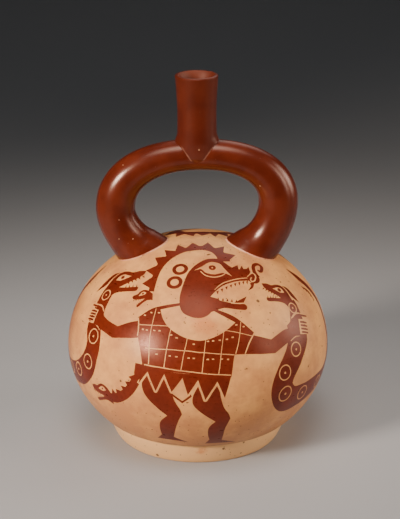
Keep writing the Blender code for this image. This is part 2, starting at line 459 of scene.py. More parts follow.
def serpent_head(card):
    """A head with open jaws, one card unit long from the neck to the tip of the snout."""
    fill(
        card,
        "red",
        [(-0.10, 0.08), (0.04, 0.21), (0.18, 0.32), (0.32, 0.37), (0.48, 0.36), (0.62, 0.28)],
        [(0.62, 0.28), (0.72, 0.18), (0.88, 0.15), (1.02, 0.06)],
        [(1.02, 0.06), (0.94, -0.06), (0.80, -0.11), (0.60, -0.12), (0.32, -0.13)],
        [(0.32, -0.13), (0.48, -0.25), (0.62, -0.33), (0.76, -0.44)],
        [(0.76, -0.44), (0.69, -0.53), (0.48, -0.40), (0.28, -0.28), (0.12, -0.25), (-0.10, -0.30)],
        [(-0.10, -0.30), (-0.10, 0.08)],
    )
    for tooth in range(SNOUT_TEETH):
        x = 0.56 + 0.09 * tooth
        fill(card, "red", *corners((x - 0.03, -0.10), (x + 0.03, -0.10), (x + 0.015, -0.20)))
    for tooth in range(JAW_TEETH):
        x = 0.46 + 0.08 * tooth
        y = -0.17 - 0.68 * (x - 0.36)
        fill(card, "red", *corners((x - 0.03, y - 0.05), (x + 0.03, y - 0.06), (x + 0.05, y + 0.08)))
    lid = [(0.24, 0.18), (0.34, 0.255), (0.48, 0.245), (0.66, 0.07)]
    under = [(0.66, 0.07), (0.50, 0.07), (0.36, 0.09), (0.24, 0.18)]
    fill(card, "cream", lid, under)
    dot(card, "red", 0.43, 0.165, 1.5 if card.size > LARGE_HEAD else 0.8, 10)


def ear_streak(card):
    """The pointed lock that sweeps back from a serpent's brow."""
    outer = [(0.36, 0.40), (0.14, 0.45), (-0.12, 0.35), (-0.42, 0.20)]
    inner = [(-0.42, 0.20), (-0.10, 0.20), (0.04, 0.27), (0.20, 0.35), (0.36, 0.40)]
    fill(card, "red", outer, inner)
    band(card, "cream", [(0.33, 0.385), (0.16, 0.325), (0.0, 0.215)], [0.5, 0.9, 0.6])


# %% [markdown]
# ## The figure
# Each side shows a beast-headed figure that strides to the right and holds up two serpents.
# It wears a toothed crest, ear rings, a broad collar, a checked tunic, a toothed kilt and a
# saw-edged belt end. The figure isn't a new design: the points of its outlines, and those of
# the serpent's head above, were measured on the painting in the photograph.

# %% Draw the two serpents
LEFT_SERPENT = [
    (-70.5, 56.0), (-73.2, 50.5), (-77.0, 41.5), (-80.0, 30.0), (-79.0, 21.0), (-81.0, 12.0),
    (-86.0, 2.5), (-95.0, -5.5), (-107.0, -9.5), (-120.0, -9.0), (-131.0, -1.0), (-136.0, 12.0),
]
LEFT_SERPENT_WIDTHS = [10, 11.2, 11.5, 15, 14, 14.5, 17, 17, 15, 12, 9, 6]
LEFT_RINGS = (
    (-72.8, 51.6, 4.0), (-79.4, 24.0, 5.2), (-84.4, 6.2, 5.2), (-97.6, -4.0, 5.0),
    (-112.0, -8.6, 4.5),
)
LEFT_TAIL = [(-134.0, 26.0), (-126.0, 38.0), (-112.0, 50.0), (-99.6, 62.2)]
RIGHT_SERPENT = [
    (71.5, 48.5), (74.4, 43.0), (75.6, 35.5), (75.3, 26.0), (70.5, 16.0), (62.0, 4.5),
    (59.5, -5.0), (65.0, -14.5), (79.0, -15.5), (95.0, -14.5), (110.0, -13.0), (122.0, -6.0),
    (128.0, 6.0),
]
RIGHT_SERPENT_WIDTHS = [9.0, 9.6, 13, 19, 17, 17, 18.5, 20, 17, 15, 13, 10, 6]
RIGHT_RINGS = (
    (73.0, 44.0, 3.8), (72.0, 18.8, 5.0), (61.4, 6.4, 5.4), (62.1, -9.0, 5.8), (79.8, -14.6, 5.4),
    (102.0, -15.0, 4.8),
)
RIGHT_TAIL = [(127.0, 20.0), (124.0, 32.0), (113.0, 44.0), (97.5, 55.5), (84.5, 65.5)]
TAIL_WIDTHS = [5.5, 6.5, 6.0, 0.5]
SHORT_TAIL_TIP = 0.5
TAIL_HAIRS = [(112.0, 36.5), (108.7, 41.1), (104.7, 44.9), (96.0, 50.2)]


def draw_serpents(card, long_tails):
    left = LEFT_SERPENT + LEFT_TAIL
    left_widths = LEFT_SERPENT_WIDTHS + TAIL_WIDTHS
    right = RIGHT_SERPENT + RIGHT_TAIL
    right_widths = RIGHT_SERPENT_WIDTHS + [TAIL_WIDTHS[0]] + TAIL_WIDTHS
    if not long_tails:
        left = LEFT_SERPENT[:-1]
        left_widths = LEFT_SERPENT_WIDTHS[:-2] + [SHORT_TAIL_TIP]
        right = RIGHT_SERPENT[:-1]
        right_widths = RIGHT_SERPENT_WIDTHS[:-2] + [SHORT_TAIL_TIP]
    band(card, "red", left, left_widths)
    band(card, "red", right, right_widths)
    if long_tails:
        band(card, "red", TAIL_HAIRS, [0.6, 2.2, 2.4, 0.6])
        teeth(card, "red", TAIL_HAIRS, 5, 2.4, lean=-0.4)
    left_head = card.between((-72.2, 55.2), (-37.6, 77.8))
    right_head = card.between((71.0, 49.3), (46.2, 66.8), flip=-1)
    for head in (left_head, right_head):
        serpent_head(head)
        ear_streak(head)
    for x, y, radius in LEFT_RINGS + RIGHT_RINGS:
        ring(card, x, y, radius, 0.8)


# %% [markdown]
# A hand is a red fist with a cream patch over it, and the fingers are drawn on the patch.

# %% Draw the arms and hands
FINGERS = 4
FINGER_STEP = 0.21


def draw_hand(card):
    """A fist round a serpent. The card runs from the wrist, at 0, to the fingertips, at 1."""
    palm = [(-0.80, 0.20), (-0.30, 0.56), (0.10, 0.78), (0.50, 0.86)]
    knuckles = [(0.50, 0.86), (0.44, 0.40), (0.34, 0.0), (0.28, -0.44)]
    fill(card, "red", palm, knuckles, [(0.28, -0.44), (-0.70, -0.46)], [(-0.70, -0.46), (-0.80, 0.20)])
    around = corners((0.36, 0.60), (1.20, 0.54), (1.14, -0.36), (0.28, -0.34))
    fill(card, "cream", *around)
    band(card, "cream", [(-0.30, 0.66), (0.20, 0.92), (0.80, 0.84), (1.30, 0.74)], [0.5, 2.0, 2.4, 2.0])
    for finger in range(FINGERS):
        y = 0.42 - FINGER_STEP * finger
        band(card, "red", [(0.46, y), (0.80, y - 0.03), (1.10, y - 0.09)], [1.2, 1.4, 1.1], round_end=True)
    band(card, "red", [(0.0, 0.66), (0.40, 0.84), (1.30, 0.72)], [2.4, 1.6, 1.1], round_end=True)


def draw_arms(card):
    fill(
        card,
        "red",
        [(-36.0, 45.0), (-47.0, 41.0), (-56.4, 36.4)],
        [(-56.4, 36.4), (-63.0, 37.4), (-69.3, 38.8), (-77.0, 42.4)],
        [(-77.0, 42.4), (-80.0, 37.0), (-80.0, 32.2)],
        [(-80.0, 32.2), (-72.6, 30.6), (-60.3, 28.2)],
        [(-60.3, 28.2), (-50.0, 30.6), (-36.0, 33.6)],
        [(-36.0, 33.6), (-36.0, 45.0)],
    )
    fill(
        card,
        "red",
        [(33.0, 36.8), (44.8, 32.4), (50.2, 30.2)],
        [(50.2, 30.2), (60.5, 33.4), (68.0, 33.4), (76.0, 35.0)],
        [(76.0, 35.0), (77.0, 31.0), (76.0, 26.8)],
        [(76.0, 26.8), (67.0, 25.8), (52.9, 21.0)],
        [(52.9, 21.0), (42.0, 22.6), (29.0, 24.8)],
        [(29.0, 24.8), (33.0, 36.8)],
    )
    band(card, "cream", [(-73.0, 29.9), (-78.0, 31.6), (-83.0, 31.6), (-88.0, 30.6)], [0.5, 0.8, 0.9, 0.6])
    band(card, "cream", [(67.0, 25.2), (72.0, 26.6), (77.0, 26.0)], [0.4, 0.8, 0.8])
    draw_hand(card.between((-77.1, 35.4), (-86.4, 35.0), flip=-1))
    draw_hand(card.between((74.0, 31.0), (85.4, 28.0)))


# %% [markdown]
# The head is one red area. The eye, the lip's line and the nose's spiral are cream on it, and
# the teeth of both jaws are small red triangles on the cream between them.

# %% Draw the head
def draw_head(card):
    skull = [
        (14.0, 96.5), (6.5, 97.6), (0.0, 93.5), (-5.8, 85.5), (-9.0, 76.0), (-11.6, 66.0),
        (-11.9, 58.0),
    ]
    throat = [(-11.9, 58.0), (-9.6, 53.0), (-3.8, 50.2), (2.5, 49.8), (7.4, 52.4), (10.0, 56.0)]
    jaw_root = [(10.0, 56.0), (13.5, 61.7), (8.0, 64.6)]
    lip = [(8.0, 64.6), (11.4, 68.6), (17.2, 72.6), (26.0, 74.2), (35.5, 72.6)]
    snout = [
        (35.5, 72.6), (37.5, 77.0), (35.6, 81.5), (29.5, 83.0), (23.0, 86.2), (18.5, 91.0),
        (14.0, 96.5),
    ]
    fill(card, "red", skull, throat, jaw_root, lip, snout)
    fill(
        card,
        "red",
        [(6.0, 62.0), (8.0, 64.6)],
        [(8.0, 64.6), (13.5, 61.7), (20.5, 59.2), (26.0, 58.2)],
        [(26.0, 58.2), (24.0, 55.6), (16.0, 55.6), (8.6, 53.6)],
        [(8.6, 53.6), (6.0, 62.0)],
    )
    band(card, "red", [(12.0, 58.4), (20.0, 57.0), (30.6, 54.6)], [3.6, 3.6, 4.4], round_end=True)
    fill(card, "red", *corners((23.6, 58.8), (32.8, 61.6), (30.4, 57.6)))
    band(card, "cream", [(21.5, 58.6), (26.5, 57.9), (31.6, 57.0)], [0.3, 0.7, 0.8])
    teeth(card, "red", [(23.0, 86.6), (28.5, 83.0), (33.0, 81.4), (38.0, 79.0)], 3, 4.2, lean=0.2, root=1.0)
    draw_nose(card)
    draw_eye(card)
    draw_bite(card)


def draw_nose(card):
    dot(card, "red", 39.6, 73.4, 4.6, 18)
    hook = [
        (43.2, 73.0), (41.4, 78.2), (41.8, 82.0), (46.2, 82.0), (50.0, 78.6), (48.0, 75.8),
        (45.6, 77.4),
    ]
    band(card, "red", hook, [4.4, 2.8, 2.6, 2.8, 2.6, 2.2, 1.6], round_end=True)
    turns = [(4.6 - 0.62 * k, math.radians(150 - 66 * k)) for k in range(7)]
    spiral = [(38.6 + r * math.cos(a), 73.4 + r * math.sin(a)) for r, a in turns]
    band(card, "cream", spiral, [0.5, 1.0, 1.0, 1.0, 1.0, 0.9, 0.7])
    fill(
        card,
        "red",
        [(36.0, 70.6), (36.8, 68.2), (34.0, 65.4)],
        [(34.0, 65.4), (38.4, 66.6), (40.0, 70.2)],
        [(40.0, 70.2), (36.0, 70.6)],
    )


def draw_eye(card):
    upper = [
        (-2.8, 86.1), (2.4, 90.2), (6.0, 93.2), (9.6, 94.0), (14.4, 91.4), (17.6, 86.0),
        (22.6, 79.0),
    ]
    lower = [(22.6, 79.0), (16.4, 82.8), (10.5, 82.2), (4.8, 84.2), (1.6, 87.6), (-2.8, 86.1)]
    fill(card, "cream", upper, lower)
    dot(card, "red", 9.2, 88.5, 2.4)
    dot(card, "cream", 9.2, 88.5, 0.6, 8)
    under = [(1.4, 85.6), (4.6, 81.8), (10.2, 79.8), (15.6, 80.6), (18.2, 82.4)]
    band(card, "cream", under, [0.6, 0.9, 1.0, 0.9, 0.5])


def draw_bite(card):
    band(card, "cream", [(10.6, 69.8), (16.8, 74.4), (26.0, 76.0), (34.6, 74.8)], [0.5, 0.8, 0.8, 0.6])
    for step in range(8):
        share = step / 7
        x = 12.5 + 21.5 * share
        y = 67.4 + 4.6 * math.sin(share * 2.1)
        fill(card, "red", *corners((x - 0.9, y + 1.0), (x + 0.9, y + 1.4), (x + 0.2, y - 1.4)))
    for step in range(5):
        x = 12.8 + 3.1 * step
        y = 62.8 - 0.75 * step
        fill(card, "red", *corners((x - 0.8, y - 0.9), (x + 0.9, y - 1.3), (x + 0.2, y + 1.1)))


# %% [markdown]
# The crest is a band that widens to the front, with teeth along its outer side. It ends in a
# small serpent's head at the back.

# %% Draw the crest and the ear rings
CREST = [
    (-31.6, 65.0), (-29.8, 75.5), (-27.6, 84.2), (-22.8, 92.8), (-16.2, 101.0), (-8.2, 107.8),
    (2.0, 111.0), (10.4, 106.8), (15.8, 99.6), (18.0, 92.6),
]
CREST_WIDTHS = [3.8, 4.2, 5.4, 5.6, 5.6, 5.2, 5.6, 6.6, 7.8, 8.2]


def draw_crest(card):
    band(card, "red", CREST, CREST_WIDTHS)
    rim = [
        (-33.2, 66.5), (-32.0, 75.5), (-30.2, 84.6), (-25.4, 93.6), (-18.6, 102.6),
        (-9.6, 109.8), (2.4, 113.4), (11.6, 109.4), (18.6, 102.0), (23.0, 93.0),
    ]
    teeth(card, "red", rim, 9, 6.0, root=1.0)
    serpent_head(card.between((-31.8, 62.2), (-46.1, 57.0), flip=-1))


def draw_ear_rings(card):
    for x, y in ((-12.0, 86.6), (-15.4, 74.8)):
        dot(card, "red", x, y, 5.3, 24)
        dot(card, "cream", x, y, 2.8, 18)


# %% [markdown]
# The tunic is red, with cream lines that part it into checks and short cream dashes in them.
# The collar is cream and covers the tunic's top.

# %% Draw the tunic and the collar
def draw_tunic(card):
    fill(
        card,
        "red",
        [(-10.0, 60.0), (-27.5, 54.8), (-40.0, 46.0)],
        [(-40.0, 46.0), (-40.0, 34.0)],
        [(-40.0, 34.0), (-38.0, 25.0), (-36.0, 14.5)],
        [(-36.0, 14.5), (-10.0, 14.0), (21.6, 11.0)],
        [(21.6, 11.0), (23.8, 25.0)],
        [(23.8, 25.0), (30.4, 24.4)],
        [(30.4, 24.4), (34.6, 30.0), (37.6, 36.6)],
        [(37.6, 36.6), (24.5, 48.6), (8.0, 57.2)],
        [(8.0, 57.2), (-10.0, 60.0)],
    )
    uprights = (
        ((-27.4, 54.0), (-31.2, 36.0), (-32.0, 17.5)),
        ((-16.8, 44.0), (-19.6, 30.0), (-21.8, 16.4)),
        ((-6.2, 38.0), (-8.8, 26.0), (-10.8, 15.6)),
        ((5.4, 37.0), (4.0, 26.0), (2.6, 14.6)),
        ((16.8, 42.0), (15.2, 28.0), (13.6, 13.4)),
        ((28.2, 45.4), (26.6, 34.0), (24.4, 25.4)),
    )
    for line in uprights:
        band(card, "cream", list(line), [0.4, 0.5, 0.7])
    band(card, "cream", [(-39.0, 41.4), (-29.0, 42.6), (-16.0, 43.4)], [0.6, 0.6, 0.5])
    band(card, "cream", [(16.0, 41.2), (26.0, 38.6), (36.0, 35.0)], [0.4, 0.5, 0.4])
    band(card, "cream", [(-34.6, 27.4), (-12.9, 28.4), (2.3, 27.4), (23.6, 24.8)], [0.5, 0.6, 0.6, 0.6])
    band(card, "cream", [(-40.2, 46.0), (-39.6, 40.0), (-40.2, 34.0)], [0.8, 0.9, 0.7])
    band(card, "cream", [(37.4, 36.8), (33.6, 31.0), (30.8, 24.8)], [0.7, 0.9, 0.7])
    for x, y in ((-36.4, 38.8), (-33.6, 38.9), (-28.4, 39.4), (-24.8, 39.6), (-17.0, 37.6), (-13.4, 36.0),
                 (-2.6, 32.6), (6.6, 34.4), (9.8, 34.6), (14.0, 34.8), (18.6, 35.0), (22.4, 36.0),
                 (-35.4, 48.0), (-30.6, 50.6), (-25.4, 51.4), (25.0, 43.6), (30.0, 42.0),
                 (-26.6, 24.6), (-17.8, 24.4), (-13.4, 24.2), (-5.8, 23.8), (-2.4, 23.7),
                 (6.4, 22.8), (9.8, 22.9), (15.4, 22.6), (19.4, 22.2)):
        dash(card, x, y)


def dash(card, x, y, length=1.5, height=0.8):
    """A short cream stroke on the tunic."""
    turn, arc = card.spot(x, y)
    corners_mm = ((-length, -height), (length, -height), (length, height), (-length, height))
    add_coat("cream", [shifted((turn, arc), dx / 2, dy / 2) for dx, dy in corners_mm])


def draw_collar(card):
    fill(
        card,
        "cream",
        [(-24.4, 53.8), (-12.0, 57.6)],
        [(-12.0, 57.6), (9.0, 55.0)],
        [(9.0, 55.0), (16.0, 50.6), (24.4, 45.3)],
        [
            (24.4, 45.3), (17.0, 40.0), (7.4, 35.8), (-0.6, 35.0), (-9.4, 37.0),
            (-18.0, 41.8), (-22.6, 47.6), (-24.4, 53.8),
        ],
    )


# %% [markdown]
# Both legs are one drawing. The kilt covers the hips, and a cream line sets its points off.

# %% Draw the kilt, the legs and the belt's end
def draw_leg(card, knee_x, knee_y, hip_left, hip_right):
    """A striding leg. Its knee points to the right, and its hip ends under the kilt."""
    def at(x, y):
        return knee_x + x, knee_y + y

    fill(
        card,
        "red",
        [hip_left, (hip_left[0] - 3.6, hip_left[1] - 8.0), at(-22.5, 9.5), at(-9.8, -2.0)],
        [at(-9.8, -2.0), at(-14.0, -7.4), at(-14.8, -14.4), at(-13.6, -22.5)],
        [at(-13.6, -22.5), at(-16.6, -28.9)],
        [at(-16.6, -28.9), at(-6.0, -29.2), at(4.4, -31.0)],
        [at(4.4, -31.0), at(-5.6, -24.0)],
        [at(-5.6, -24.0), at(-3.2, -9.0), at(0.0, 0.0)],
        [at(0.0, 0.0), at(-1.2, 4.0), at(-5.0, 11.0), hip_right],
        [hip_right, hip_left],
    )


def draw_kilt(card):
    draw_leg(card, -9.8, -15.4, (-33.0, 11.5), (-20.0, 11.5))
    draw_leg(card, 21.6, -19.6, (0.6, 6.0), (13.0, 8.0))
    fill(card, "red", *corners((-19.6, 1.0), (-9.6, -6.6), (-3.6, -1.4), (-6.0, 4.0), (-16.0, 5.0)))
    fill(card, "cream", *corners((-18.0, 1.6), (-9.6, -4.9), (-5.0, -0.6), (-6.0, 6.0), (-16.0, 8.0)))
    edge = [
        (-39.0, 3.6), (-32.6, 12.6), (-27.2, 0.6), (-21.4, 12.4), (-16.4, 1.2), (-9.6, 11.0),
        (-6.3, -0.2), (0.4, 9.8), (4.9, -3.8), (12.6, 8.6), (17.6, -3.0),
    ]
    for a, b in zip(edge, edge[1:]):
        band(card, "cream", [a, b], [2.6, 2.6], round_end=True)
    kilt = [(-36.0, 15.4), *edge, (21.6, 12.0)]
    fill(card, "red", *corners(*kilt))
    waist = [(-35.0, 16.9), (-22.8, 16.3), (-10.4, 15.5), (2.3, 14.3), (21.4, 12.2)]
    band(card, "cream", waist, [0.9, 0.8, 0.7, 0.7, 0.7])


def draw_belt_end(card):
    path = [(-34.0, 14.0), (-39.4, 7.4), (-44.4, -0.6), (-50.4, -7.4), (-57.0, -11.6), (-64.0, -12.6)]
    band(card, "red", path, [6.0, 6.4, 6.4, 6.6, 7.2, 6.0])
    rim = [(-60.0, -8.8), (-55.6, -8.2), (-51.2, -5.0), (-46.8, -0.4), (-43.2, 4.4), (-41.6, 9.6)]
    teeth(card, "red", rim, 5, 3.8, lean=-0.3, root=1.0)
    fill(card, "red", *corners((-41.4, 16.8), (-42.2, 9.6), (-37.0, 8.0), (-33.0, 16.4)))
    serpent_head(card.between((-61.0, -12.0), (-79.2, -9.6), flip=-1))


# %% [markdown]
# ## Two figures round the bowl
# The same figure is painted on the front and, a little plainer, on the back, where no
# photograph shows it. Its serpents' necks and tails reach round the sides.

# %% Paint both sides
BACK_LIFT = 8.0


def draw_figure(card, long_tails):
    draw_belt_end(card)
    draw_serpents(card, long_tails)
    draw_arms(card)
    draw_tunic(card)
    draw_collar(card)
    draw_kilt(card)
    draw_crest(card)
    draw_ear_rings(card)
    draw_head(card)


draw_figure(Card(turn=math.pi, arc=BACK_LIFT), long_tails=False)
draw_figure(Card(), long_tails=True)
print("coats of slip:", len(coats))

# %% [markdown]
# ## From coats to a painted wall
# An image would blur the painted edges, and a pattern made in the shader can't hold a figure.
# So the edges are cut into the wall itself. All outlines are pressed flat on a plane, with a
# net of evenly spaced spots between them, and joined into triangles that never cross an
# outline. Each triangle knows which coats it lies in, takes the colour of the last one, and
# goes back to its place on the bowl.

# %% Build the painted wall
WALL_STEP = 2.6
FOOT_SIDES = 168
CLEAR_OF_OUTLINE = 0.0009
PAINTS = {"cream": 0, "red": 1}


def flat(turn, arc):
    """The place of a spot when the wall is pressed flat."""
    spread = float(np.interp(arc, wall_arc, wall_spread))
    return Vector((spread * math.sin(turn), -spread * math.cos(turn)))


def net_spots():
    """Even rows of spots over the whole wall, each row shifted by half a step."""
    rows = round((HIGHEST_ARC - LOWEST_ARC) / (WALL_STEP * math.sin(math.radians(60))))
    spots = []
    for row in range(1, rows):
        arc = LOWEST_ARC + (HIGHEST_ARC - LOWEST_ARC) * row / rows
        count = max(6, round(2 * math.pi * radius_at(arc) / WALL_STEP))
        for step in range(count):
            spots.append((2 * math.pi * (step + row % 2 / 2) / count, arc))
    return spots


def make_wall():
    rim = [(2 * math.pi * step / FOOT_SIDES, LOWEST_ARC) for step in range(FOOT_SIDES)]
    spots = list(rim)
    loops = [list(range(FOOT_SIDES))]
    for color, outline in coats:
        loops.append(list(range(len(spots), len(spots) + len(outline))))
        spots.extend(outline)
    near = kdtree.KDTree(len(spots))
    for i, spot in enumerate(spots):
        near.insert(on_wall(*spot), i)
    near.balance()
    for spot in net_spots():
        if near.find(on_wall(*spot))[2] > CLEAR_OF_OUTLINE:
            spots.append(spot)
    places = [flat(*spot) for spot in spots]
    for loop in loops:
        area = sum(places[a].cross(places[b]) for a, b in zip(loop, loop[1:] + loop[:1]))
        if area < 0:
            loop.reverse()
    corners_flat, _, faces, _, _, inside = delaunay_2d_cdt(places, [], loops, 0, 1e-7, True)
    flat_x = np.array([place.x for place in corners_flat])
    flat_y = np.array([place.y for place in corners_flat])
    spread = np.hypot(flat_x, flat_y)
    arc = np.interp(-spread, -wall_spread, wall_arc)
    angle = np.interp(arc, wall_arc, wall_angle)
    turn = np.arctan2(flat_x, -flat_y)
    radius = BOWL_RADIUS * np.cos(angle)
    height = equator_height + np.where(angle > 0, BOWL_RISE, BOWL_FALL) * np.sin(angle)
    points = np.stack([radius * np.sin(turn), -radius * np.cos(turn), height], axis=1)
    mesh = bpy.data.meshes.new("painted_wall")
    mesh.from_pydata(points.tolist(), [], faces)
    for face, inside_of in zip(mesh.polygons, inside):
        coat = max(inside_of, default=0)
        face.material_index = PAINTS[coats[coat - 1][0]] if coat else PAINTS["cream"]
    wall = bpy.data.objects.new("painted_vessel", mesh)
    bpy.context.scene.collection.objects.link(wall)
    return wall


vessel = make_wall()
print("painted wall triangles:", len(vessel.data.polygons))

# %% [markdown]
# ## The foot
# The wall ends in an open edge where the bowl meets its foot. As by hand, that edge is
# extruded again and again: in to the seam groove, down the band of the foot, across the ring
# that it stands on, and up into the shallow recess below.

# %% Extrude the foot from the wall's edge
FOOT_STEPS = 8
EDGE_ROUND = 0.0009


def foot_profile():
    """(radius, height) from just under the bowl's edge to the middle of the underside."""
    profile = [(FOOT_TOP_RADIUS + SEAM_INSET * 0.45, FOOT_HEIGHT + SEAM_RISE * 0.62)]
    profile.append((FOOT_TOP_RADIUS + 0.0003, FOOT_HEIGHT + 0.0003))
    for step in range(FOOT_STEPS + 1):
        share = step / FOOT_STEPS
        height = FOOT_HEIGHT - 0.0004 - (FOOT_HEIGHT - EDGE_ROUND) * share
        lowering = 1 - height / FOOT_HEIGHT
        radius = FOOT_TOP_RADIUS - (FOOT_TOP_RADIUS - FOOT_BASE_RADIUS) * lowering**FOOT_CURVE
        profile.append((radius, max(height, EDGE_ROUND)))
    for step in (1, 2, 3):
        angle = math.pi / 2 * step / 3
        inward = EDGE_ROUND * (1 - math.cos(angle))
        profile.append((FOOT_BASE_RADIUS - inward, EDGE_ROUND * (1 - math.sin(angle))))
    ring_inner = FOOT_BASE_RADIUS - FOOT_RING_WIDTH
    profile.append((FOOT_BASE_RADIUS - FOOT_RING_WIDTH / 2, 0))
    for step in range(5):
        angle = math.pi / 2 * step / 4
        inward = FOOT_RECESS_DEPTH * (1 - math.cos(angle))
        profile.append((ring_inner - inward, FOOT_RECESS_DEPTH * math.sin(angle)))
    for share in (0.75, 0.5, 0.25):
        profile.append(((ring_inner - FOOT_RECESS_DEPTH) * share, FOOT_RECESS_DEPTH))
    return profile


select_only(vessel)
bpy.ops.object.mode_set(mode="EDIT")
bpy.ops.mesh.select_mode(type="EDGE")
bpy.ops.mesh.select_all(action="DESELECT")
bpy.ops.mesh.select_non_manifold(
    use_wire=False, use_multi_face=False, use_non_contiguous=False, use_verts=False
)
extrude_turned(vessel, bowl_edge_radius, FOOT_HEIGHT + SEAM_RISE, foot_profile())
bpy.ops.mesh.edge_face_add()
bpy.ops.mesh.poke()
bpy.ops.object.mode_set(mode="OBJECT")
print("wall and foot faces:", len(vessel.data.polygons))

# %% [markdown]
# ## The stirrup and the spout
# The stirrup is a tube, so it is a curve with a round bevel. Each point of the curve has its
# own radius: slim at the crown, fuller at the sides, and swelling where the legs land. The
# arch is not quite even, like the real one: its left side reaches lower and further out.

# %% Make the stirrup
CROWN_HEIGHT = 0.0574
CROWN_OFFSET = 0.0028
RIGHT_LEG = {"reach": 0.0530, "widest": 0.0244, "landing": 0.0380, "fullness": 1.89}
LEFT_LEG = {"reach": 0.0555, "widest": 0.0194, "landing": 0.0399, "fullness": 1.77}
SHOULDER_FULLNESS = 2.24
TUBE_CROWN_RADIUS = 0.0104
TUBE_SIDE_RADIUS = 0.0131
TUBE_LANDING_RADIUS = 0.0152
TUBE_WALL = 0.0040
LANDING_FLARE_SHARPNESS = 4
LANDING_SPREAD = 0.0010
INNER_LANDING_SPREAD = 0.0044
LANDING_SPREAD_REACH = 0.0150
ARC_STEPS = 28
TUBE_BEVEL = 14
crown_z = bowl_top + CROWN_HEIGHT
root_length = BOWL_WALL + TUBE_LANDING_RADIUS


def smooth_share(value):
    """0 below 0, 1 over 1, and a soft step between them."""
    value = min(max(value, 0), 1)
    return value * value * (3 - 2 * value)


def leg_path(side, leg, inset):
    """(x, z, radius) from the crown down one leg and on through the bowl's wall."""
    span = leg["reach"] - side * CROWN_OFFSET
    widest_z = bowl_top + leg["widest"]
    across = (leg["landing"] - side * CROWN_OFFSET) / span
    landing_angle = math.acos(across ** (leg["fullness"] / 2))
    landing_z = equator_height + BOWL_RISE * math.sqrt(1 - (leg["landing"] / BOWL_RADIUS) ** 2)
    drop = (widest_z - landing_z) / math.sin(landing_angle) ** (2 / leg["fullness"])
    path = []
    for step in range(ARC_STEPS + 1):
        angle = math.pi / 2 * (1 - step / ARC_STEPS)
        x = span * abs(math.cos(angle)) ** (2 / SHOULDER_FULLNESS)
        z = widest_z + (crown_z - widest_z) * math.sin(angle) ** (2 / SHOULDER_FULLNESS)
        slimming = (TUBE_CROWN_RADIUS - TUBE_SIDE_RADIUS) * math.sin(angle) ** 2
        path.append((CROWN_OFFSET + side * x, z, TUBE_SIDE_RADIUS + slimming - inset))
    for step in range(1, ARC_STEPS + 1):
        angle = landing_angle * step / ARC_STEPS
        x = span * math.cos(angle) ** (2 / leg["fullness"])
        z = widest_z - drop * math.sin(angle) ** (2 / leg["fullness"])
        flare = (math.sin(angle) / math.sin(landing_angle)) ** LANDING_FLARE_SHARPNESS
        radius = TUBE_SIDE_RADIUS + (TUBE_LANDING_RADIUS - TUBE_SIDE_RADIUS) * flare
        path.append((CROWN_OFFSET + side * x, z, radius - inset))
    (before_x, before_z, _), (end_x, end_z, end_radius) = path[-2:]
    length = math.hypot(end_x - before_x, end_z - before_z)
    for share in (0.5, 1):
        distance = root_length * share
        x = end_x + (end_x - before_x) / length * distance
        z = end_z + (end_z - before_z) / length * distance
        path.append((x, z, end_radius))
    return path


def wall_gap(point):
    """How far a point is from the bowl's outer wall, about right close to it."""
    up = (point.z - equator_height) / BOWL_RISE
    reach = math.sqrt((point.x**2 + point.y**2) / BOWL_RADIUS**2 + up**2)
    return (point - Vector((0, 0, equator_height))).length * (1 - 1 / reach)


def flare_landings(tube):
    """Spreads the tube where it nears the bowl, most of all on the inner side of each leg."""
    normals = [vertex.normal.copy() for vertex in tube.data.vertices]
    for vertex, normal in zip(tube.data.vertices, normals):
        nearness = 1 - min(max(wall_gap(vertex.co) / LANDING_SPREAD_REACH, 0), 1)
        inward = -normal.x * math.copysign(1, vertex.co.x)
        spread = LANDING_SPREAD * (1 + 0.5 * min(inward, 0))
        spread += (INNER_LANDING_SPREAD - LANDING_SPREAD) * max(inward, 0) ** 2
        vertex.co += normal * spread * nearness**2


def make_tube(name, inset, bevel):
    """A closed tube along the stirrup, as a mesh."""
    bpy.ops.object.select_all(action="DESELECT")
    bpy.ops.curve.primitive_nurbs_path_add()
    guide = bpy.context.object
    curve = guide.data
    curve.splines.clear()
    path = leg_path(-1, LEFT_LEG, inset)[:0:-1] + leg_path(1, RIGHT_LEG, inset)
    spline = curve.splines.new("POLY")
    spline.points.add(len(path) - 1)
    for point, (x, z, radius) in zip(spline.points, path):
        point.co = (x, 0, z, 1)
        point.radius = radius / TUBE_SIDE_RADIUS
    curve.bevel_depth = TUBE_SIDE_RADIUS
    curve.bevel_resolution = bevel
    curve.use_fill_caps = True
    bpy.ops.object.convert(target="MESH")
    tube = bpy.context.object
    tube.name = name
    bpy.ops.object.mode_set(mode="EDIT")
    bpy.ops.mesh.select_all(action="SELECT")
    bpy.ops.mesh.remove_doubles(threshold=0.00001)
    bpy.ops.mesh.normals_make_consistent(inside=False)
    bpy.ops.object.mode_set(mode="OBJECT")
    return tube


stirrup = make_tube("stirrup", 0, TUBE_BEVEL)
flare_landings(stirrup)
stirrup_bore = make_tube("stirrup_bore", TUBE_WALL, TUBE_BEVEL // 2)
print("stirrup faces:", len(stirrup.data.polygons))

# %% [markdown]
# The spout was thrown or rolled, so it is turned: a circle is extruded up the outside and over
# the lip. On the real vessel its foot was pared to a wedge that sits astride the arch, so the
# seam is a straight V at the front and at the back. Where the V has to be `across` wide, the
# spout's radius follows from it and from the tube's front, as the long side of a triangle.

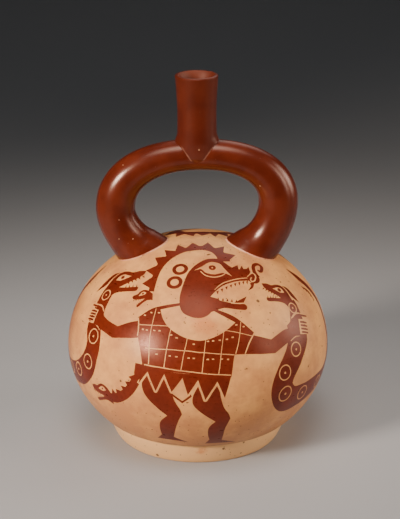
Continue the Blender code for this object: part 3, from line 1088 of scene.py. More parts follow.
# %% Make the spout
SPOUT_HEIGHT = 0.0536
SPOUT_OFFSET = -0.0012
SPOUT_LEAN = math.radians(0.7)
SPOUT_BASE_RADIUS = 0.0130
SPOUT_WAIST_RADIUS = 0.0128
SPOUT_WAIST_HEIGHT = 0.0270
SPOUT_RIM_RADIUS = 0.0142
SPOUT_FLARE_CURVE = 1.6
SPOUT_WALL = 0.0040
SEAM_HALF_WIDTH = 0.0049
SEAM_SLOPE = 0.70
SEAM_TIP_DEPTH = 0.0025
SEAM_TIP_LENGTH = 0.0011
SEAM_STRAIGHT_TO = 0.0053
CROTCH_SPREAD = 0.0015
LIP_THICKNESS = 0.0026
LIP_ROUND = 0.0010
MOUTH_FUNNEL_DEPTH = 0.0090
SPOUT_SIDES = 72
SPOUT_STEPS = 44
BORE_STEPS = 4


def seam_radius(height):
    """The spout's radius that makes the seam a V, at a height over the tube's middle line."""
    tip = min(max((height + SEAM_TIP_DEPTH) / SEAM_TIP_LENGTH, 0), 1)
    across = (SEAM_HALF_WIDTH + SEAM_SLOPE * height) * math.sqrt(tip)
    return math.hypot(across, math.sqrt(TUBE_CROWN_RADIUS**2 - height**2))


def spout_radius(height):
    """Outer radius at a height over the tube's middle line: a wedge, a waist, then a flare."""
    if height < TUBE_CROWN_RADIUS:
        share = smooth_share((height - SEAM_STRAIGHT_TO) / (TUBE_CROWN_RADIUS - SEAM_STRAIGHT_TO))
        return seam_radius(height) * (1 - share) + SPOUT_BASE_RADIUS * share
    if height < SPOUT_WAIST_HEIGHT:
        share = smooth_share((height - TUBE_CROWN_RADIUS) / (SPOUT_WAIST_HEIGHT - TUBE_CROWN_RADIUS))
        return SPOUT_BASE_RADIUS + (SPOUT_WAIST_RADIUS - SPOUT_BASE_RADIUS) * share
    share = (height - SPOUT_WAIST_HEIGHT) / (SPOUT_HEIGHT - SPOUT_WAIST_HEIGHT)
    return SPOUT_WAIST_RADIUS + (SPOUT_RIM_RADIUS - SPOUT_WAIST_RADIUS) * share**SPOUT_FLARE_CURVE


def spread_crotches(spout):
    """Draws the clay out to the left and right, where the spout's sides meet the arch."""
    lowest = TUBE_CROWN_RADIUS - 0.001
    for vertex in spout.data.vertices:
        fading = 1 - smooth_share((vertex.co.z - lowest) / 0.0075)
        sideways = vertex.co.x / max(math.hypot(vertex.co.x, vertex.co.y), 0.0001)
        vertex.co.x += CROTCH_SPREAD * fading**2 * abs(sideways) ** 3 * sideways


def make_turned(name, profile, sides):
    """A closed solid, extruded from a circle through (radius, height) places, bottom to top."""
    (radius, height), *rest = profile
    bpy.ops.object.select_all(action="DESELECT")
    place = (0, 0, height)
    bpy.ops.mesh.primitive_circle_add(
        vertices=sides, radius=radius, location=place, fill_type="NGON"
    )
    obj = bpy.context.object
    obj.name = name
    bpy.ops.object.transform_apply(location=True)
    bpy.ops.object.mode_set(mode="EDIT")
    bpy.ops.mesh.select_mode(type="EDGE")
    bpy.ops.mesh.select_all(action="SELECT")
    extrude_turned(obj, radius, height, rest)
    bpy.ops.mesh.edge_face_add()
    bpy.ops.mesh.select_all(action="SELECT")
    bpy.ops.mesh.normals_make_consistent(inside=False)
    bpy.ops.object.mode_set(mode="OBJECT")
    return obj


def stand_on_crown(obj):
    """Sets a turned piece on the tube at the crown, leaning to the left, and applies it."""
    select_only(obj)
    obj.location = (SPOUT_OFFSET, 0, crown_z)
    obj.rotation_euler = (0, -SPOUT_LEAN, 0)
    bpy.ops.object.transform_apply(location=True, rotation=True)


def spout_profile():
    lowest = -SEAM_TIP_DEPTH
    profile = [(seam_radius(lowest) - 0.0003, lowest - 0.0002)]
    for step in range(SPOUT_STEPS + 1):
        height = lowest + (SPOUT_HEIGHT - LIP_ROUND - lowest) * step / SPOUT_STEPS
        profile.append((spout_radius(height), height))
    for step in (1, 2, 3):
        angle = math.pi / 2 * step / 3
        inward = LIP_ROUND * (1 - math.cos(angle))
        profile.append((SPOUT_RIM_RADIUS - inward, SPOUT_HEIGHT - LIP_ROUND * (1 - math.sin(angle))))
    return profile


def bore_profile():
    profile = []
    funnel_end = SPOUT_HEIGHT - MOUTH_FUNNEL_DEPTH
    for step in range(BORE_STEPS + 1):
        height = funnel_end * step / BORE_STEPS
        profile.append((SPOUT_WAIST_RADIUS - SPOUT_WALL, height))
    mouth_radius = SPOUT_RIM_RADIUS - LIP_THICKNESS
    throat_radius = profile[-1][0]
    for share in (0.25, 0.5, 0.75, 1):
        widening = (mouth_radius - throat_radius) * share**1.4
        profile.append((throat_radius + widening, funnel_end + (MOUTH_FUNNEL_DEPTH - 0.0006) * share))
    profile.append((mouth_radius + 0.0007, SPOUT_HEIGHT + 0.0001))
    profile.append((mouth_radius + 0.0012, SPOUT_HEIGHT + 0.0020))
    return profile


spout = make_turned("spout", spout_profile(), SPOUT_SIDES)
spread_crotches(spout)
spout_bore = make_turned("spout_bore", bore_profile(), SPOUT_SIDES)
stand_on_crown(spout)
stand_on_crown(spout_bore)
print("spout faces:", len(spout.data.polygons))

# %% [markdown]
# ## The hollow inside
# The vessel is hollow and empty: one air space runs from the mouth down both legs into the
# bowl. The inside of the bowl is a solid of its own, a wall's thickness smaller, and it is
# cut away together with the two bores.

# %% Make the empty space
CAVITY_SIDES = 64
CAVITY_STEPS = 28
CAVITY_FLOOR_SHARE = 0.96


def wall_inside(angle):
    """Radius and height a wall's thickness inside the bowl, at an angle from its equator."""
    radius = BOWL_RADIUS * math.cos(angle)
    height = semi_height(angle) * math.sin(angle)
    across = radius / BOWL_RADIUS**2
    along = height / semi_height(angle) ** 2
    inset = BOWL_WALL / math.hypot(across, along)
    return radius - inset * across, equator_height + height - inset * along


def cavity_profile():
    profile = []
    for step in range(1, 2 * CAVITY_STEPS):
        radius, height = wall_inside(math.pi * (step / (2 * CAVITY_STEPS) - 0.5))
        if height > floor_height:
            profile.append((radius, height))
    first_radius = profile[0][0]
    return [(first_radius * CAVITY_FLOOR_SHARE, floor_height)] + profile


cavity = make_turned("bowl_cavity", cavity_profile(), CAVITY_SIDES)
print("cavity top at", round(max(v.co.z for v in cavity.data.vertices), 4))

# %% [markdown]
# ## What a fired surface is made of
# Slip is clay thinned with water. On the real vessel it lies in uneven coats, so its colour
# drifts in soft patches. The stone that rubbed it left fine streaks that shine unevenly. Sand
# grains have popped out and left small dark pits, and flakes of slip have come away.
#
# Each of these effects is a node group with named inputs, so cream slip, red slip and bare
# clay can use the same ones with their own values. First, two helpers: one adds a node and
# links it in a single line, the other starts a group.

# %% Helpers for nodes
def add_node(tree, kind, inputs=(), **settings):
    """Adds a node. An input is a plain value, or another node's output to link from."""
    node = tree.nodes.new("ShaderNode" + kind)
    for name, value in settings.items():
        setattr(node, name, value)
    for name, value in dict(inputs).items():
        if isinstance(value, bpy.types.NodeSocket):
            tree.links.new(value, node.inputs[name])
        else:
            node.inputs[name].default_value = value
    return node


def calculate(tree, operation, first, second=0.0, third=0.0):
    inputs = {0: first, 1: second, 2: third}
    return add_node(tree, "Math", inputs, operation=operation).outputs[0]


def product(tree, value, *factors):
    for factor in factors:
        value = calculate(tree, "MULTIPLY", value, factor)
    return value


def weighted_sum(tree, base, *pairs):
    """The base plus each value times its weight."""
    for value, weight in pairs:
        base = calculate(tree, "MULTIPLY_ADD", value, weight, base)
    return base


def strongest(tree, value, *others):
    for other in others:
        value = calculate(tree, "MAXIMUM", value, other)
    return value


def ramp_mask(tree, value, start, end):
    """0 before the start, 1 past the end, and a soft step between them."""
    inputs = {"Value": value, "From Min": start, "From Max": end}
    return add_node(tree, "MapRange", inputs, interpolation_type="SMOOTHSTEP").outputs["Result"]


def mix_colors(tree, share, first, second):
    node = add_node(tree, "Mix", {"Factor": share}, data_type="RGBA")
    for socket, color in ((node.inputs[6], first), (node.inputs[7], second)):
        if isinstance(color, bpy.types.NodeSocket):
            tree.links.new(color, socket)
        else:
            socket.default_value = (*color, 1)
    return node.outputs[2]


def lay_over(tree, color, mask, share, tint):
    """Mixes a share of a tint into a colour, where a mask says so."""
    return mix_colors(tree, product(tree, mask, share), color, tint)


def start_group(name, inputs, outputs):
    """A new node group with float inputs, besides its Place, and float outputs."""
    tree = bpy.data.node_groups.new(name, "ShaderNodeTree")
    tree.interface.new_socket("Place", in_out="INPUT", socket_type="NodeSocketVector")
    for label, value in inputs.items():
        kind = "NodeSocketVector" if isinstance(value, tuple) else "NodeSocketFloat"
        tree.interface.new_socket(label, in_out="INPUT", socket_type=kind).default_value = value
    for label in outputs:
        tree.interface.new_socket(label, in_out="OUTPUT", socket_type="NodeSocketFloat")
    given = tree.nodes.new("NodeGroupInput").outputs
    result = tree.nodes.new("NodeGroupOutput").inputs
    return tree, given, result


def noise_value(tree, place, scale, detail=3.0, roughness=0.55):
    inputs = {"Vector": place, "Scale": scale, "Detail": detail, "Roughness": roughness}
    return add_node(tree, "TexNoise", inputs).outputs["Fac"]


# %% [markdown]
# The soft patches are a slow noise, and the grain of the clay a fast one. Sizes are given in
# millimetres, which the group turns into the scale that the noise asks for.

# %% Group: uneven coats
def make_uneven_coats():
    sizes = {"Patch Size": 18.0, "Grain Size": 0.9}
    tree, given, result = start_group("uneven_coats", sizes, ("Patches", "Grain"))
    patch_scale = calculate(tree, "DIVIDE", 1000.0, given["Patch Size"])
    grain_scale = calculate(tree, "DIVIDE", 1000.0, given["Grain Size"])
    patches = noise_value(tree, given["Place"], patch_scale, 4.0)
    tree.links.new(ramp_mask(tree, patches, 0.32, 0.68), result["Patches"])
    tree.links.new(noise_value(tree, given["Place"], grain_scale, 2.0), result["Grain"])
    return tree


uneven_coats = make_uneven_coats()

# %% [markdown]
# The burnishing stone was drawn round the bowl, and along the stirrup. Both are noise drawn
# out along the stroke. The group reads a place whose first number runs along the stroke, in
# metres, and makes long thin marks of it.

# %% Group: burnishing streaks
def make_burnish_streaks():
    sizes = {"Length": 22.0, "Width": 1.1}
    tree, given, result = start_group("burnish_streaks", sizes, ("Streaks",))
    parts = add_node(tree, "SeparateXYZ", {0: given["Place"]}).outputs
    along = calculate(tree, "MULTIPLY", parts["X"], calculate(tree, "DIVIDE", 1000.0, given["Length"]))
    narrow = calculate(tree, "DIVIDE", 1000.0, given["Width"])
    across = calculate(tree, "MULTIPLY", parts["Y"], narrow)
    depth = calculate(tree, "MULTIPLY", parts["Z"], narrow)
    place = add_node(tree, "CombineXYZ", {"X": along, "Y": across, "Z": depth}).outputs[0]
    tree.links.new(noise_value(tree, place, 1.0, 3.0, 0.6), result["Streaks"])
    return tree


burnish_streaks = make_burnish_streaks()

# %% [markdown]
# Pits and specks are Voronoi cells: each cell has one point, and its distance makes a round
# spot. Only the cells whose random value passes the amount get one, and a little noise keeps
# the spots from being perfect circles.

# %% Group: pits and specks
def make_specks():
    sizes = {"Spacing": 6.0, "Size": 0.5, "Amount": 0.3}
    tree, given, result = start_group("specks", sizes, ("Mask",))
    scale = calculate(tree, "DIVIDE", 1000.0, given["Spacing"])
    cells = add_node(tree, "TexVoronoi", {"Vector": given["Place"], "Scale": scale})
    wobble = noise_value(tree, given["Place"], 1400.0, 2.0)
    reach = calculate(tree, "DIVIDE", given["Size"], given["Spacing"])
    reach = calculate(tree, "MULTIPLY", reach, calculate(tree, "ADD", wobble, 0.15))
    near = calculate(tree, "DIVIDE", cells.outputs["Distance"], reach)
    spot = calculate(tree, "SUBTRACT", 1.0, ramp_mask(tree, near, 0.65, 1.15))
    lot = add_node(tree, "SeparateXYZ", {0: cells.outputs["Color"]}).outputs["X"]
    chosen = calculate(tree, "LESS_THAN", lot, given["Amount"])
    tree.links.new(calculate(tree, "MULTIPLY", spot, chosen), result["Mask"])
    return tree


specks = make_specks()

# %% [markdown]
# A mark that shows in one place, such as the rusty stain on the collar or a chip, is the
# distance to a named spot, roughened by noise.

# %% Group: a mark in one place
def make_local_mark():
    sizes = {"Center": (0.0, 0.0, 0.0), "Radius": 1.0, "Raggedness": 0.5, "Softness": 0.5}
    tree, given, result = start_group("local_mark", sizes, ("Mask",))
    inputs = {0: given["Place"], 1: given["Center"]}
    distance = add_node(tree, "VectorMath", inputs, operation="DISTANCE").outputs["Value"]
    share = calculate(tree, "DIVIDE", calculate(tree, "MULTIPLY", distance, 1000.0), given["Radius"])
    scale = calculate(tree, "DIVIDE", 1600.0, given["Radius"])
    rough = calculate(tree, "SUBTRACT", noise_value(tree, given["Place"], scale), 0.5)
    share = calculate(tree, "MULTIPLY_ADD", rough, given["Raggedness"], share)
    start = calculate(tree, "SUBTRACT", 1.0, given["Softness"])
    mask = calculate(tree, "SUBTRACT", 1.0, ramp_mask(tree, share, start, 1.0))
    tree.links.new(mask, result["Mask"])
    return tree


local_mark = make_local_mark()
print("node groups:", [group.name for group in bpy.data.node_groups])

# %% [markdown]
# ## Places on the vessel
# The streaks need to know which way the stone went. Round the bowl, the first number is the
# turn times the bowl's radius. Along the stirrup, it is the turn about the middle of the
# loop, and the distance from that middle tells how far across the tube a place is.

# %% Places for the streaks
LOOP_MIDDLE_HEIGHT = 0.175
LOOP_RADIUS = 0.055
SPOUT_MEAN_RADIUS = 0.013


def group_node(tree, group, place, **values):
    """Places a group in a material, with its own values."""
    node = tree.nodes.new("ShaderNodeGroup")
    node.node_tree = group
    tree.links.new(place, node.inputs["Place"])
    for name, value in values.items():
        node.inputs[name.replace("_", " ").title()].default_value = value
    return node.outputs


def named_marks(tree, place, spots, **values):
    """One mask for each spot, which is a centre and a radius in mm."""
    masks = []
    for center, radius in spots:
        mark = group_node(tree, local_mark, place, center=center, radius=radius, **values)
        masks.append(mark["Mask"])
    return masks


def set_sheen(shader, level, tint):
    shader.inputs["Specular IOR Level"].default_value = level
    shader.inputs["Specular Tint"].default_value = (*tint, 1)


def place_round_bowl(tree, place):
    parts = add_node(tree, "SeparateXYZ", {0: place}).outputs
    turn = calculate(tree, "ARCTAN2", parts["X"], parts["Y"])
    along = calculate(tree, "MULTIPLY", turn, BOWL_RADIUS)
    return add_node(tree, "CombineXYZ", {"X": along, "Y": parts["Z"]}).outputs[0]


def place_along_stirrup(tree, place):
    parts = add_node(tree, "SeparateXYZ", {0: place}).outputs
    height = calculate(tree, "SUBTRACT", parts["Z"], LOOP_MIDDLE_HEIGHT)
    turn = calculate(tree, "ARCTAN2", parts["X"], height)
    square = calculate(tree, "MULTIPLY", parts["X"], parts["X"])
    distance = calculate(tree, "SQRT", calculate(tree, "MULTIPLY_ADD", height, height, square))
    along = calculate(tree, "MULTIPLY", turn, LOOP_RADIUS)
    inputs = {"X": along, "Y": distance, "Z": parts["Y"]}
    return add_node(tree, "CombineXYZ", inputs).outputs[0]


def place_up_spout(tree, place):
    parts = add_node(tree, "SeparateXYZ", {0: place}).outputs
    turn = calculate(tree, "ARCTAN2", parts["X"], parts["Y"])
    around = calculate(tree, "MULTIPLY", turn, SPOUT_MEAN_RADIUS)
    return add_node(tree, "CombineXYZ", {"X": parts["Z"], "Y": around}).outputs[0]


def start_material(name):
    """A material with a Principled BSDF, and the object's own coordinates."""
    material = bpy.data.materials.new(name)
    material.use_nodes = True
    tree = material.node_tree
    place = add_node(tree, "TexCoord").outputs["Object"]
    return material, tree, tree.nodes["Principled BSDF"], place


def finish_material(tree, shader, color, roughness, height, depth_mm):
    """Links the colour, the roughness and a height in shares of a depth, as a bump."""
    inputs = {"Height": height, "Distance": depth_mm * MM, "Strength": 1.0}
    bump = add_node(tree, "Bump", inputs)
    tree.links.new(color, shader.inputs["Base Color"])
    tree.links.new(roughness, shader.inputs["Roughness"])
    tree.links.new(bump.outputs["Normal"], shader.inputs["Normal"])


# %% [markdown]
# ## Cream slip
# The cream coat is matt beside the red, and mottled from straw to a pinkish tan. It has dark
# pits of two sizes, thin scratches, and a rusty stain in the middle of the collar and another
# on the foot. Shade is painted into its colour too: darker in the groove where the bowl meets
# the foot, darker on the bowl's left side, and tanner towards the bottom of the bowl.

# %% Make the cream slip
CREAM_LIGHT = (0.78, 0.38, 0.118)
# Tan of the mottled slip. The same colour is also used for the painted shade low on the bowl.
CREAM_TAN = (0.52, 0.215, 0.078)
FOOT_CREAM = (0.80, 0.47, 0.215)
# Painted shade: the darker colour laid in the groove where the bowl meets the foot.
PAINTED_SEAM_SHADE = (0.26, 0.115, 0.050)
PIT_BROWN = (0.085, 0.032, 0.014)
RUST = (0.56, 0.15, 0.030)
# Painted shade: from this height down to the foot, the bowl turns tanner.
PAINTED_SHADE_FROM_HEIGHT = 0.075
# Painted shade: the darker colour, and the spot (a centre and a radius in mm) of a soft patch on the bowl's
# left side.
PAINTED_SIDE_SHADE = (0.26, 0.072, 0.024)
PAINTED_SIDE_SHADE_SPOT = ((-0.090, 0.004, 0.078), 44.0)
# How far above and below the top of the foot the painted shade in the groove reaches.
SEAM_SHADE_RISE = 0.0030
SEAM_SHADE_FALL = 0.0015
CREAM_SHEEN = (0.34, (1.0, 0.85, 0.68))
RUST_MARKS = (
    ((0.004, -0.073, 0.108), 11.0),
    ((0.003, -0.060, 0.012), 5.0),
)
LARGE_PITS = (
    ((0.0310, -0.0537, 0.0140), 0.9),
    ((0.0175, -0.0588, 0.0119), 1.1),
    ((-0.0266, -0.0512, 0.0030), 1.4),
    ((-0.0494, -0.0738, 0.0674), 1.0),
    ((0.0386, -0.0537, 0.1153), 1.3),
    ((0.0829, -0.0302, 0.0741), 0.8),
)


def place_squeezed(tree, place):
    """Places pressed together sideways, so that round specks become short level scratches."""
    inputs = {"Vector": place, "Scale": (0.35, 0.35, 2.0)}
    return add_node(tree, "Mapping", inputs).outputs["Vector"]


def make_cream_slip():
    material, tree, shader, place = start_material("cream_slip")
    coats_of_slip = group_node(tree, uneven_coats, place, patch_size=20.0, grain_size=0.8)
    fine_coats = group_node(tree, uneven_coats, place, patch_size=4.5, grain_size=0.35)
    streaks = group_node(tree, burnish_streaks, place_round_bowl(tree, place), length=26.0, width=1.6)
    height_up = add_node(tree, "SeparateXYZ", {0: place}).outputs["Z"]
    above_foot = ramp_mask(tree, height_up, FOOT_HEIGHT, FOOT_HEIGHT + SEAM_RISE)
    # Painted shade: low on the bowl the colour turns tanner towards the foot, on top of the random patches.
    painted_low_shade = product(tree, ramp_mask(tree, height_up, PAINTED_SHADE_FROM_HEIGHT, FOOT_HEIGHT), above_foot)
    tan = weighted_sum(
        tree,
        -0.25,
        (coats_of_slip["Patches"], 0.65),
        (fine_coats["Patches"], 0.25),
        (streaks["Streaks"], 0.2),
        (painted_low_shade, 0.5),
        (above_foot, 0.25),
    )
    tan = calculate(tree, "MINIMUM", calculate(tree, "MAXIMUM", tan, 0.0), 1.0)
    color = mix_colors(tree, tan, CREAM_LIGHT, CREAM_TAN)
    # Painted shade: a large soft patch that darkens the bowl's left side.
    painted_side_shade = named_marks(tree, place, [PAINTED_SIDE_SHADE_SPOT], raggedness=0.5, softness=0.9)[0]
    color = lay_over(tree, color, painted_side_shade, 0.85, PAINTED_SIDE_SHADE)
    on_foot = calculate(tree, "SUBTRACT", 1.0, above_foot)
    color = lay_over(tree, color, on_foot, 0.8, FOOT_CREAM)
    seam_top = FOOT_HEIGHT + SEAM_RISE
    # Painted shade in the groove where the bowl meets the foot, broken up by fine patches.
    painted_seam_shade = product(
        tree,
        ramp_mask(tree, height_up, seam_top + SEAM_SHADE_RISE, seam_top),
        ramp_mask(tree, height_up, FOOT_HEIGHT - SEAM_SHADE_FALL, FOOT_HEIGHT),
        ramp_mask(tree, fine_coats["Patches"], 0.1, 0.9),
    )
    color = lay_over(tree, color, painted_seam_shade, 0.5, PAINTED_SEAM_SHADE)
    rust = strongest(tree, *named_marks(tree, place, RUST_MARKS, raggedness=1.6, softness=0.9))
    color = lay_over(tree, color, rust, 0.55, RUST)
    squeezed = place_squeezed(tree, place)
    small = group_node(tree, specks, place, spacing=3.0, size=0.62, amount=0.42)["Mask"]
    large = group_node(tree, specks, place, spacing=9.0, size=1.10, amount=0.34)["Mask"]
    scratches = group_node(tree, specks, squeezed, spacing=9.0, size=0.9, amount=0.30)["Mask"]
    sandy = group_node(tree, specks, place, spacing=1.9, size=0.55, amount=0.60)["Mask"]
    sandy = product(tree, sandy, rust)
    named_pits = named_marks(tree, place, LARGE_PITS, raggedness=0.8, softness=0.4)
    pits = strongest(tree, small, large, scratches, sandy, *named_pits)
    color = lay_over(tree, color, pits, 0.85, PIT_BROWN)
    roughness = weighted_sum(tree, 0.30, (streaks["Streaks"], 0.16), (pits, 0.3))
    height = weighted_sum(tree, 0.0, (coats_of_slip["Grain"], 0.10), (streaks["Streaks"], 0.14))
    height = calculate(tree, "SUBTRACT", height, pits)
    finish_material(tree, shader, color, roughness, height, 0.16)
    set_sheen(shader, *CREAM_SHEEN)
    return material


cream_slip = make_cream_slip()

# %% [markdown]
# ## Red slip
# The painter's red is one fine clay, rich in iron, on the bowl and on the stirrup. On the bowl
# it went over the cream with a brush, so it is lighter where it is thin. On the stirrup it is
# thicker, darker and better rubbed, with a few pale chips, and a thin pale line is left where
# the legs land on the bowl and where the spout meets the arch.

# %% Make the red slips
RED_DEEP = (0.092, 0.0092, 0.0032)
RED_THIN = (0.150, 0.0190, 0.0070)
STIRRUP_DEEP = (0.082, 0.0100, 0.0036)
STIRRUP_THIN = (0.126, 0.0190, 0.0070)
MOUTH_DEEP = (0.100, 0.0120, 0.0030)
MOUTH_THIN = (0.150, 0.0230, 0.0060)
CHIP_CREAM = (0.72, 0.42, 0.24)
EDGE_PINK = (0.86, 0.44, 0.28)
RED_SHEEN = (0.36, (1.0, 0.52, 0.36))
STIRRUP_SHEEN = (0.60, (1.0, 0.74, 0.62))
SEAM_LINE_SHARE = 0.2
SEAM_LINE_FROM_MM = (-2.8, -0.8)
SEAM_LINE_TO_MM = (8.5, 6.0)
CHIPS = (
    ((0.0000, -0.0124, 0.2042), 0.7),
    ((-0.0497, -0.0072, 0.1922), 0.45),
    ((-0.0525, -0.0128, 0.1561), 0.45),
    ((-0.0527, -0.0130, 0.1429), 0.40),
    ((-0.0434, -0.0129, 0.1429), 0.40),
    ((0.0402, -0.0099, 0.1792), 0.60),
)


def make_red_slip():
    material, tree, shader, place = start_material("red_slip")
    coats_of_slip = group_node(tree, uneven_coats, place, patch_size=13.0, grain_size=0.7)
    fine_coats = group_node(tree, uneven_coats, place, patch_size=2.6, grain_size=0.35)
    streaks = group_node(tree, burnish_streaks, place_round_bowl(tree, place), length=24.0, width=1.2)
    thin = weighted_sum(
        tree,
        0.0,
        (coats_of_slip["Patches"], 0.55),
        (fine_coats["Patches"], 0.3),
        (streaks["Streaks"], 0.25),
    )
    color = mix_colors(tree, thin, RED_DEEP, RED_THIN)
    roughness = weighted_sum(tree, 0.22, (streaks["Streaks"], 0.12), (fine_coats["Patches"], 0.06))
    height = weighted_sum(tree, 0.0, (coats_of_slip["Grain"], 0.10), (streaks["Streaks"], 0.03))
    finish_material(tree, shader, color, roughness, height, 0.16)
    set_sheen(shader, *RED_SHEEN)
    return material


def wall_distance(tree, place):
    """How far outside the bowl's outer surface a place is, in mm, for places near it."""
    parts = add_node(tree, "SeparateXYZ", {0: place}).outputs
    across = calculate(tree, "MULTIPLY", parts["X"], parts["X"])
    across = calculate(tree, "MULTIPLY_ADD", parts["Y"], parts["Y"], across)
    across = calculate(tree, "DIVIDE", across, BOWL_RADIUS**2)
    height = calculate(tree, "SUBTRACT", parts["Z"], equator_height)
    height = calculate(tree, "DIVIDE", height, BOWL_RISE)
    reach = calculate(tree, "SQRT", calculate(tree, "MULTIPLY_ADD", height, height, across))
    return calculate(tree, "MULTIPLY", calculate(tree, "SUBTRACT", reach, 1.0), BOWL_RISE / MM)


def seam_line(tree, place):
    """1 on the thin line where the spout's wedge meets the arch, in front and behind."""
    parts = add_node(tree, "SeparateXYZ", {0: place}).outputs
    height = calculate(tree, "MULTIPLY_ADD", parts["Z"], 1 / MM, -crown_z / MM)
    side = calculate(tree, "MULTIPLY_ADD", parts["X"], 1 / MM, -SPOUT_OFFSET / MM)
    side = calculate(tree, "ABSOLUTE", side)
    half_width = calculate(tree, "MULTIPLY_ADD", height, SEAM_SLOPE, SEAM_HALF_WIDTH / MM)
    gap = calculate(tree, "ABSOLUTE", calculate(tree, "SUBTRACT", side, half_width))
    line = ramp_mask(tree, gap, 0.75, 0.30)
    above = ramp_mask(tree, height, *SEAM_LINE_FROM_MM)
    below = ramp_mask(tree, height, *SEAM_LINE_TO_MM)
    return product(tree, line, above, below, SEAM_LINE_SHARE)


def make_burnished_slip(name, streak_place, smoothest, deep, thin_color):
    """The stirrup's slip. Its streaks follow a place, and it is as smooth as asked for."""
    material, tree, shader, place = start_material(name)
    coats_of_slip = group_node(tree, uneven_coats, place, patch_size=16.0, grain_size=0.6)
    streaks = group_node(tree, burnish_streaks, streak_place(tree, place), length=34.0, width=2.4)
    thin = weighted_sum(tree, 0.0, (coats_of_slip["Patches"], 0.8), (streaks["Streaks"], 0.08))
    color = mix_colors(tree, thin, deep, thin_color)
    pits = group_node(tree, specks, place, spacing=3.6, size=0.45, amount=0.16)["Mask"]
    color = lay_over(tree, color, pits, 0.4, PIT_BROWN)
    chips = strongest(tree, *named_marks(tree, place, CHIPS, raggedness=1.0, softness=0.6))
    landing = ramp_mask(tree, wall_distance(tree, place), 1.0, 0.4)
    ragged = ramp_mask(tree, noise_value(tree, place, 260.0), 0.26, 0.50)
    line = product(tree, strongest(tree, landing, seam_line(tree, place)), ragged)
    color = lay_over(tree, color, line, 0.8, EDGE_PINK)
    color = lay_over(tree, color, chips, 0.7, CHIP_CREAM)
    worn = strongest(tree, pits, line, chips)
    roughness = weighted_sum(tree, smoothest, (streaks["Streaks"], 0.10), (worn, 0.3))
    height = weighted_sum(tree, 0.0, (coats_of_slip["Grain"], 0.07), (streaks["Streaks"], 0.06))
    height = calculate(tree, "SUBTRACT", height, strongest(tree, pits, chips))
    finish_material(tree, shader, color, roughness, height, 0.14)
    set_sheen(shader, *STIRRUP_SHEEN)
    return material


red_slip = make_red_slip()
stirrup_slip = make_burnished_slip("stirrup_slip", place_along_stirrup, 0.20, STIRRUP_DEEP, STIRRUP_THIN)
spout_slip = make_burnished_slip("spout_slip", place_up_spout, 0.26, STIRRUP_DEEP, STIRRUP_THIN)
mouth_slip = make_burnished_slip("mouth_slip", place_up_spout, 0.55, MOUTH_DEEP, MOUTH_THIN)

# %% [markdown]
# ## Bare clay
# Inside, below the mouth, and under the foot no slip was laid. The clay there is rough and
# buff, with the grain of its sand.

# %% Make the bare clay
CLAY_BUFF = (0.42, 0.17, 0.075)
CLAY_DARK = (0.22, 0.085, 0.038)


def make_bare_clay():
    material, tree, shader, place = start_material("bare_clay")
    body = group_node(tree, uneven_coats, place, patch_size=9.0, grain_size=0.5)
    color = mix_colors(tree, body["Patches"], CLAY_BUFF, CLAY_DARK)
    pits = group_node(tree, specks, place, spacing=2.4, size=0.45, amount=0.5)["Mask"]
    color = lay_over(tree, color, pits, 0.6, PIT_BROWN)
    roughness = weighted_sum(tree, 0.7, (body["Grain"], 0.2))
    height = calculate(tree, "SUBTRACT", body["Grain"], pits)
    finish_material(tree, shader, color, roughness, height, 0.2)
    return material


bare_clay = make_bare_clay()
print("materials:", [material.name for material in bpy.data.materials])

# %% [markdown]
# ## Paint and clay on each part
# Each part gets its material before the parts are joined, because a Boolean hands the
# materials on: cream slip and red slip on the wall, red slip on the stirrup and in the mouth,
# and bare clay inside.

# %% Give each part its material
SLIP_IN_MOUTH = 0.012


def set_materials(obj, *materials):
    obj.data.materials.clear()
    for material in materials:
        obj.data.materials.append(material)


wall_paint = [face.material_index for face in vessel.data.polygons]
set_materials(vessel, cream_slip, red_slip)
vessel.data.polygons.foreach_set("material_index", wall_paint)
set_materials(stirrup, stirrup_slip)
set_materials(spout, spout_slip)
set_materials(cavity, bare_clay)
set_materials(stirrup_bore, bare_clay)
set_materials(spout_bore, bare_clay, mouth_slip)
slip_from = crown_z + SPOUT_HEIGHT - SLIP_IN_MOUTH
for face in spout_bore.data.polygons:
    face.material_index = 1 if face.center.z > slip_from else 0
print("faces of the bore with slip:", sum(f.material_index for f in spout_bore.data.polygons))

# %% [markdown]
# ## One piece of clay
# Boolean modifiers join the tube and the spout to the bowl and cut the air space out. The
# small solids are joined first, so the finely divided wall goes through only two operations.

# %% Join and hollow the vessel
def boolean(obj, operation, other):
    """Applies a Boolean with another object, and removes that object."""
    modifier = obj.modifiers.new(operation, "BOOLEAN")
    modifier.operation = operation
    modifier.solver = "EXACT"
    modifier.material_mode = "TRANSFER"
    modifier.object = other
    select_only(obj)
    bpy.ops.object.modifier_apply(modifier=modifier.name)
    bpy.data.objects.remove(other)


boolean(stirrup, "UNION", spout)
boolean(cavity, "UNION", stirrup_bore)
boolean(cavity, "UNION", spout_bore)
boolean(vessel, "UNION", stirrup)
boolean(vessel, "DIFFERENCE", cavity)
print("joined vessel faces:", len(vessel.data.polygons))

# %% [markdown]
# ## The hand of the maker
# The real bowl isn't perfectly round: a low, soft unevenness shows in the way its shine
# wanders. Every place is drawn towards the axis by up to a fifth of a millimetre, by a slow
# noise that fades out at the foot, so that the vessel still stands flat.
#
# The painted wall has long thin triangles along the paint's edges, and smooth shading would
# show them. The wall's form is known, so its normals are worked out and given to the mesh:
# those of the half ellipsoids, tilted by the slope of the unevenness.

# %% Uneven the form and set the wall's normals
UNEVENNESS = 0.0024
UNEVEN_SCALE = 34
ON_WALL = 0.0002
SHARP_ANGLE = math.radians(32)


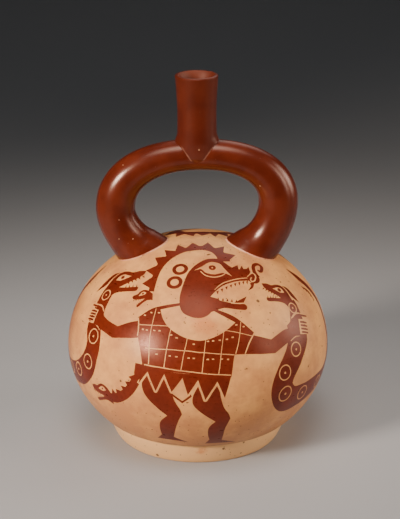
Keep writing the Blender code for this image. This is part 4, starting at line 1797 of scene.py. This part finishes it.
def uneven_share(point):
    """How much a point is drawn in: a share of its distance from the axis."""
    fading = smooth_share((point.z - FOOT_HEIGHT) / FOOT_HEIGHT)
    return UNEVENNESS * fading * (0.5 + 0.5 * noise.noise(point * UNEVEN_SCALE))


def uneven_wall_normal(point):
    """The outward normal of the uneven wall at a point of the even one."""
    up = point.z - equator_height
    normal = Vector((point.x, point.y, 0)) / BOWL_RADIUS**2
    normal.z = up / semi_height(up) ** 2
    normal.normalize()
    step = 0.001
    here = uneven_share(point)
    steps = (Vector((step, 0, 0)), Vector((0, step, 0)), Vector((0, 0, step)))
    slope = Vector([(uneven_share(point + s) - here) / step for s in steps])
    reach = point.x * normal.x + point.y * normal.y
    return (normal + reach * (slope - normal * slope.dot(normal))).normalized()


def is_on_wall(point):
    up = point.z - equator_height
    share = up / semi_height(up)
    reach = math.sqrt((point.x**2 + point.y**2) / BOWL_RADIUS**2 + share**2)
    return abs(reach - 1) * BOWL_RADIUS < ON_WALL


def uneven_and_smooth(obj):
    mesh = obj.data
    wall_normals = {}
    for vertex in mesh.vertices:
        if is_on_wall(vertex.co):
            wall_normals[vertex.index] = uneven_wall_normal(vertex.co)
    on_wall_faces = set()
    for face in mesh.polygons:
        if all(index in wall_normals for index in face.vertices):
            outward = wall_normals[face.vertices[0]].dot(face.normal) > 0.5
            painted = mesh.materials[face.material_index] in (cream_slip, red_slip)
            if outward and painted:
                on_wall_faces.add(face.index)
    for vertex in mesh.vertices:
        share = uneven_share(vertex.co)
        vertex.co.x *= 1 - share
        vertex.co.y *= 1 - share
    mesh.shade_smooth()
    mesh.set_sharp_from_angle(angle=SHARP_ANGLE)
    corner_normals = [(0.0, 0.0, 0.0)] * len(mesh.loops)
    for index in on_wall_faces:
        face = mesh.polygons[index]
        for corner, vertex in zip(face.loop_indices, face.vertices):
            corner_normals[corner] = tuple(wall_normals[vertex])
    mesh.normals_split_custom_set(corner_normals)
    return len(on_wall_faces)


print("faces on the wall:", uneven_and_smooth(vessel))
print("triangles:", sum(len(face.vertices) - 2 for face in vessel.data.polygons))

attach(vessel, "root")
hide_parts(VESSEL)
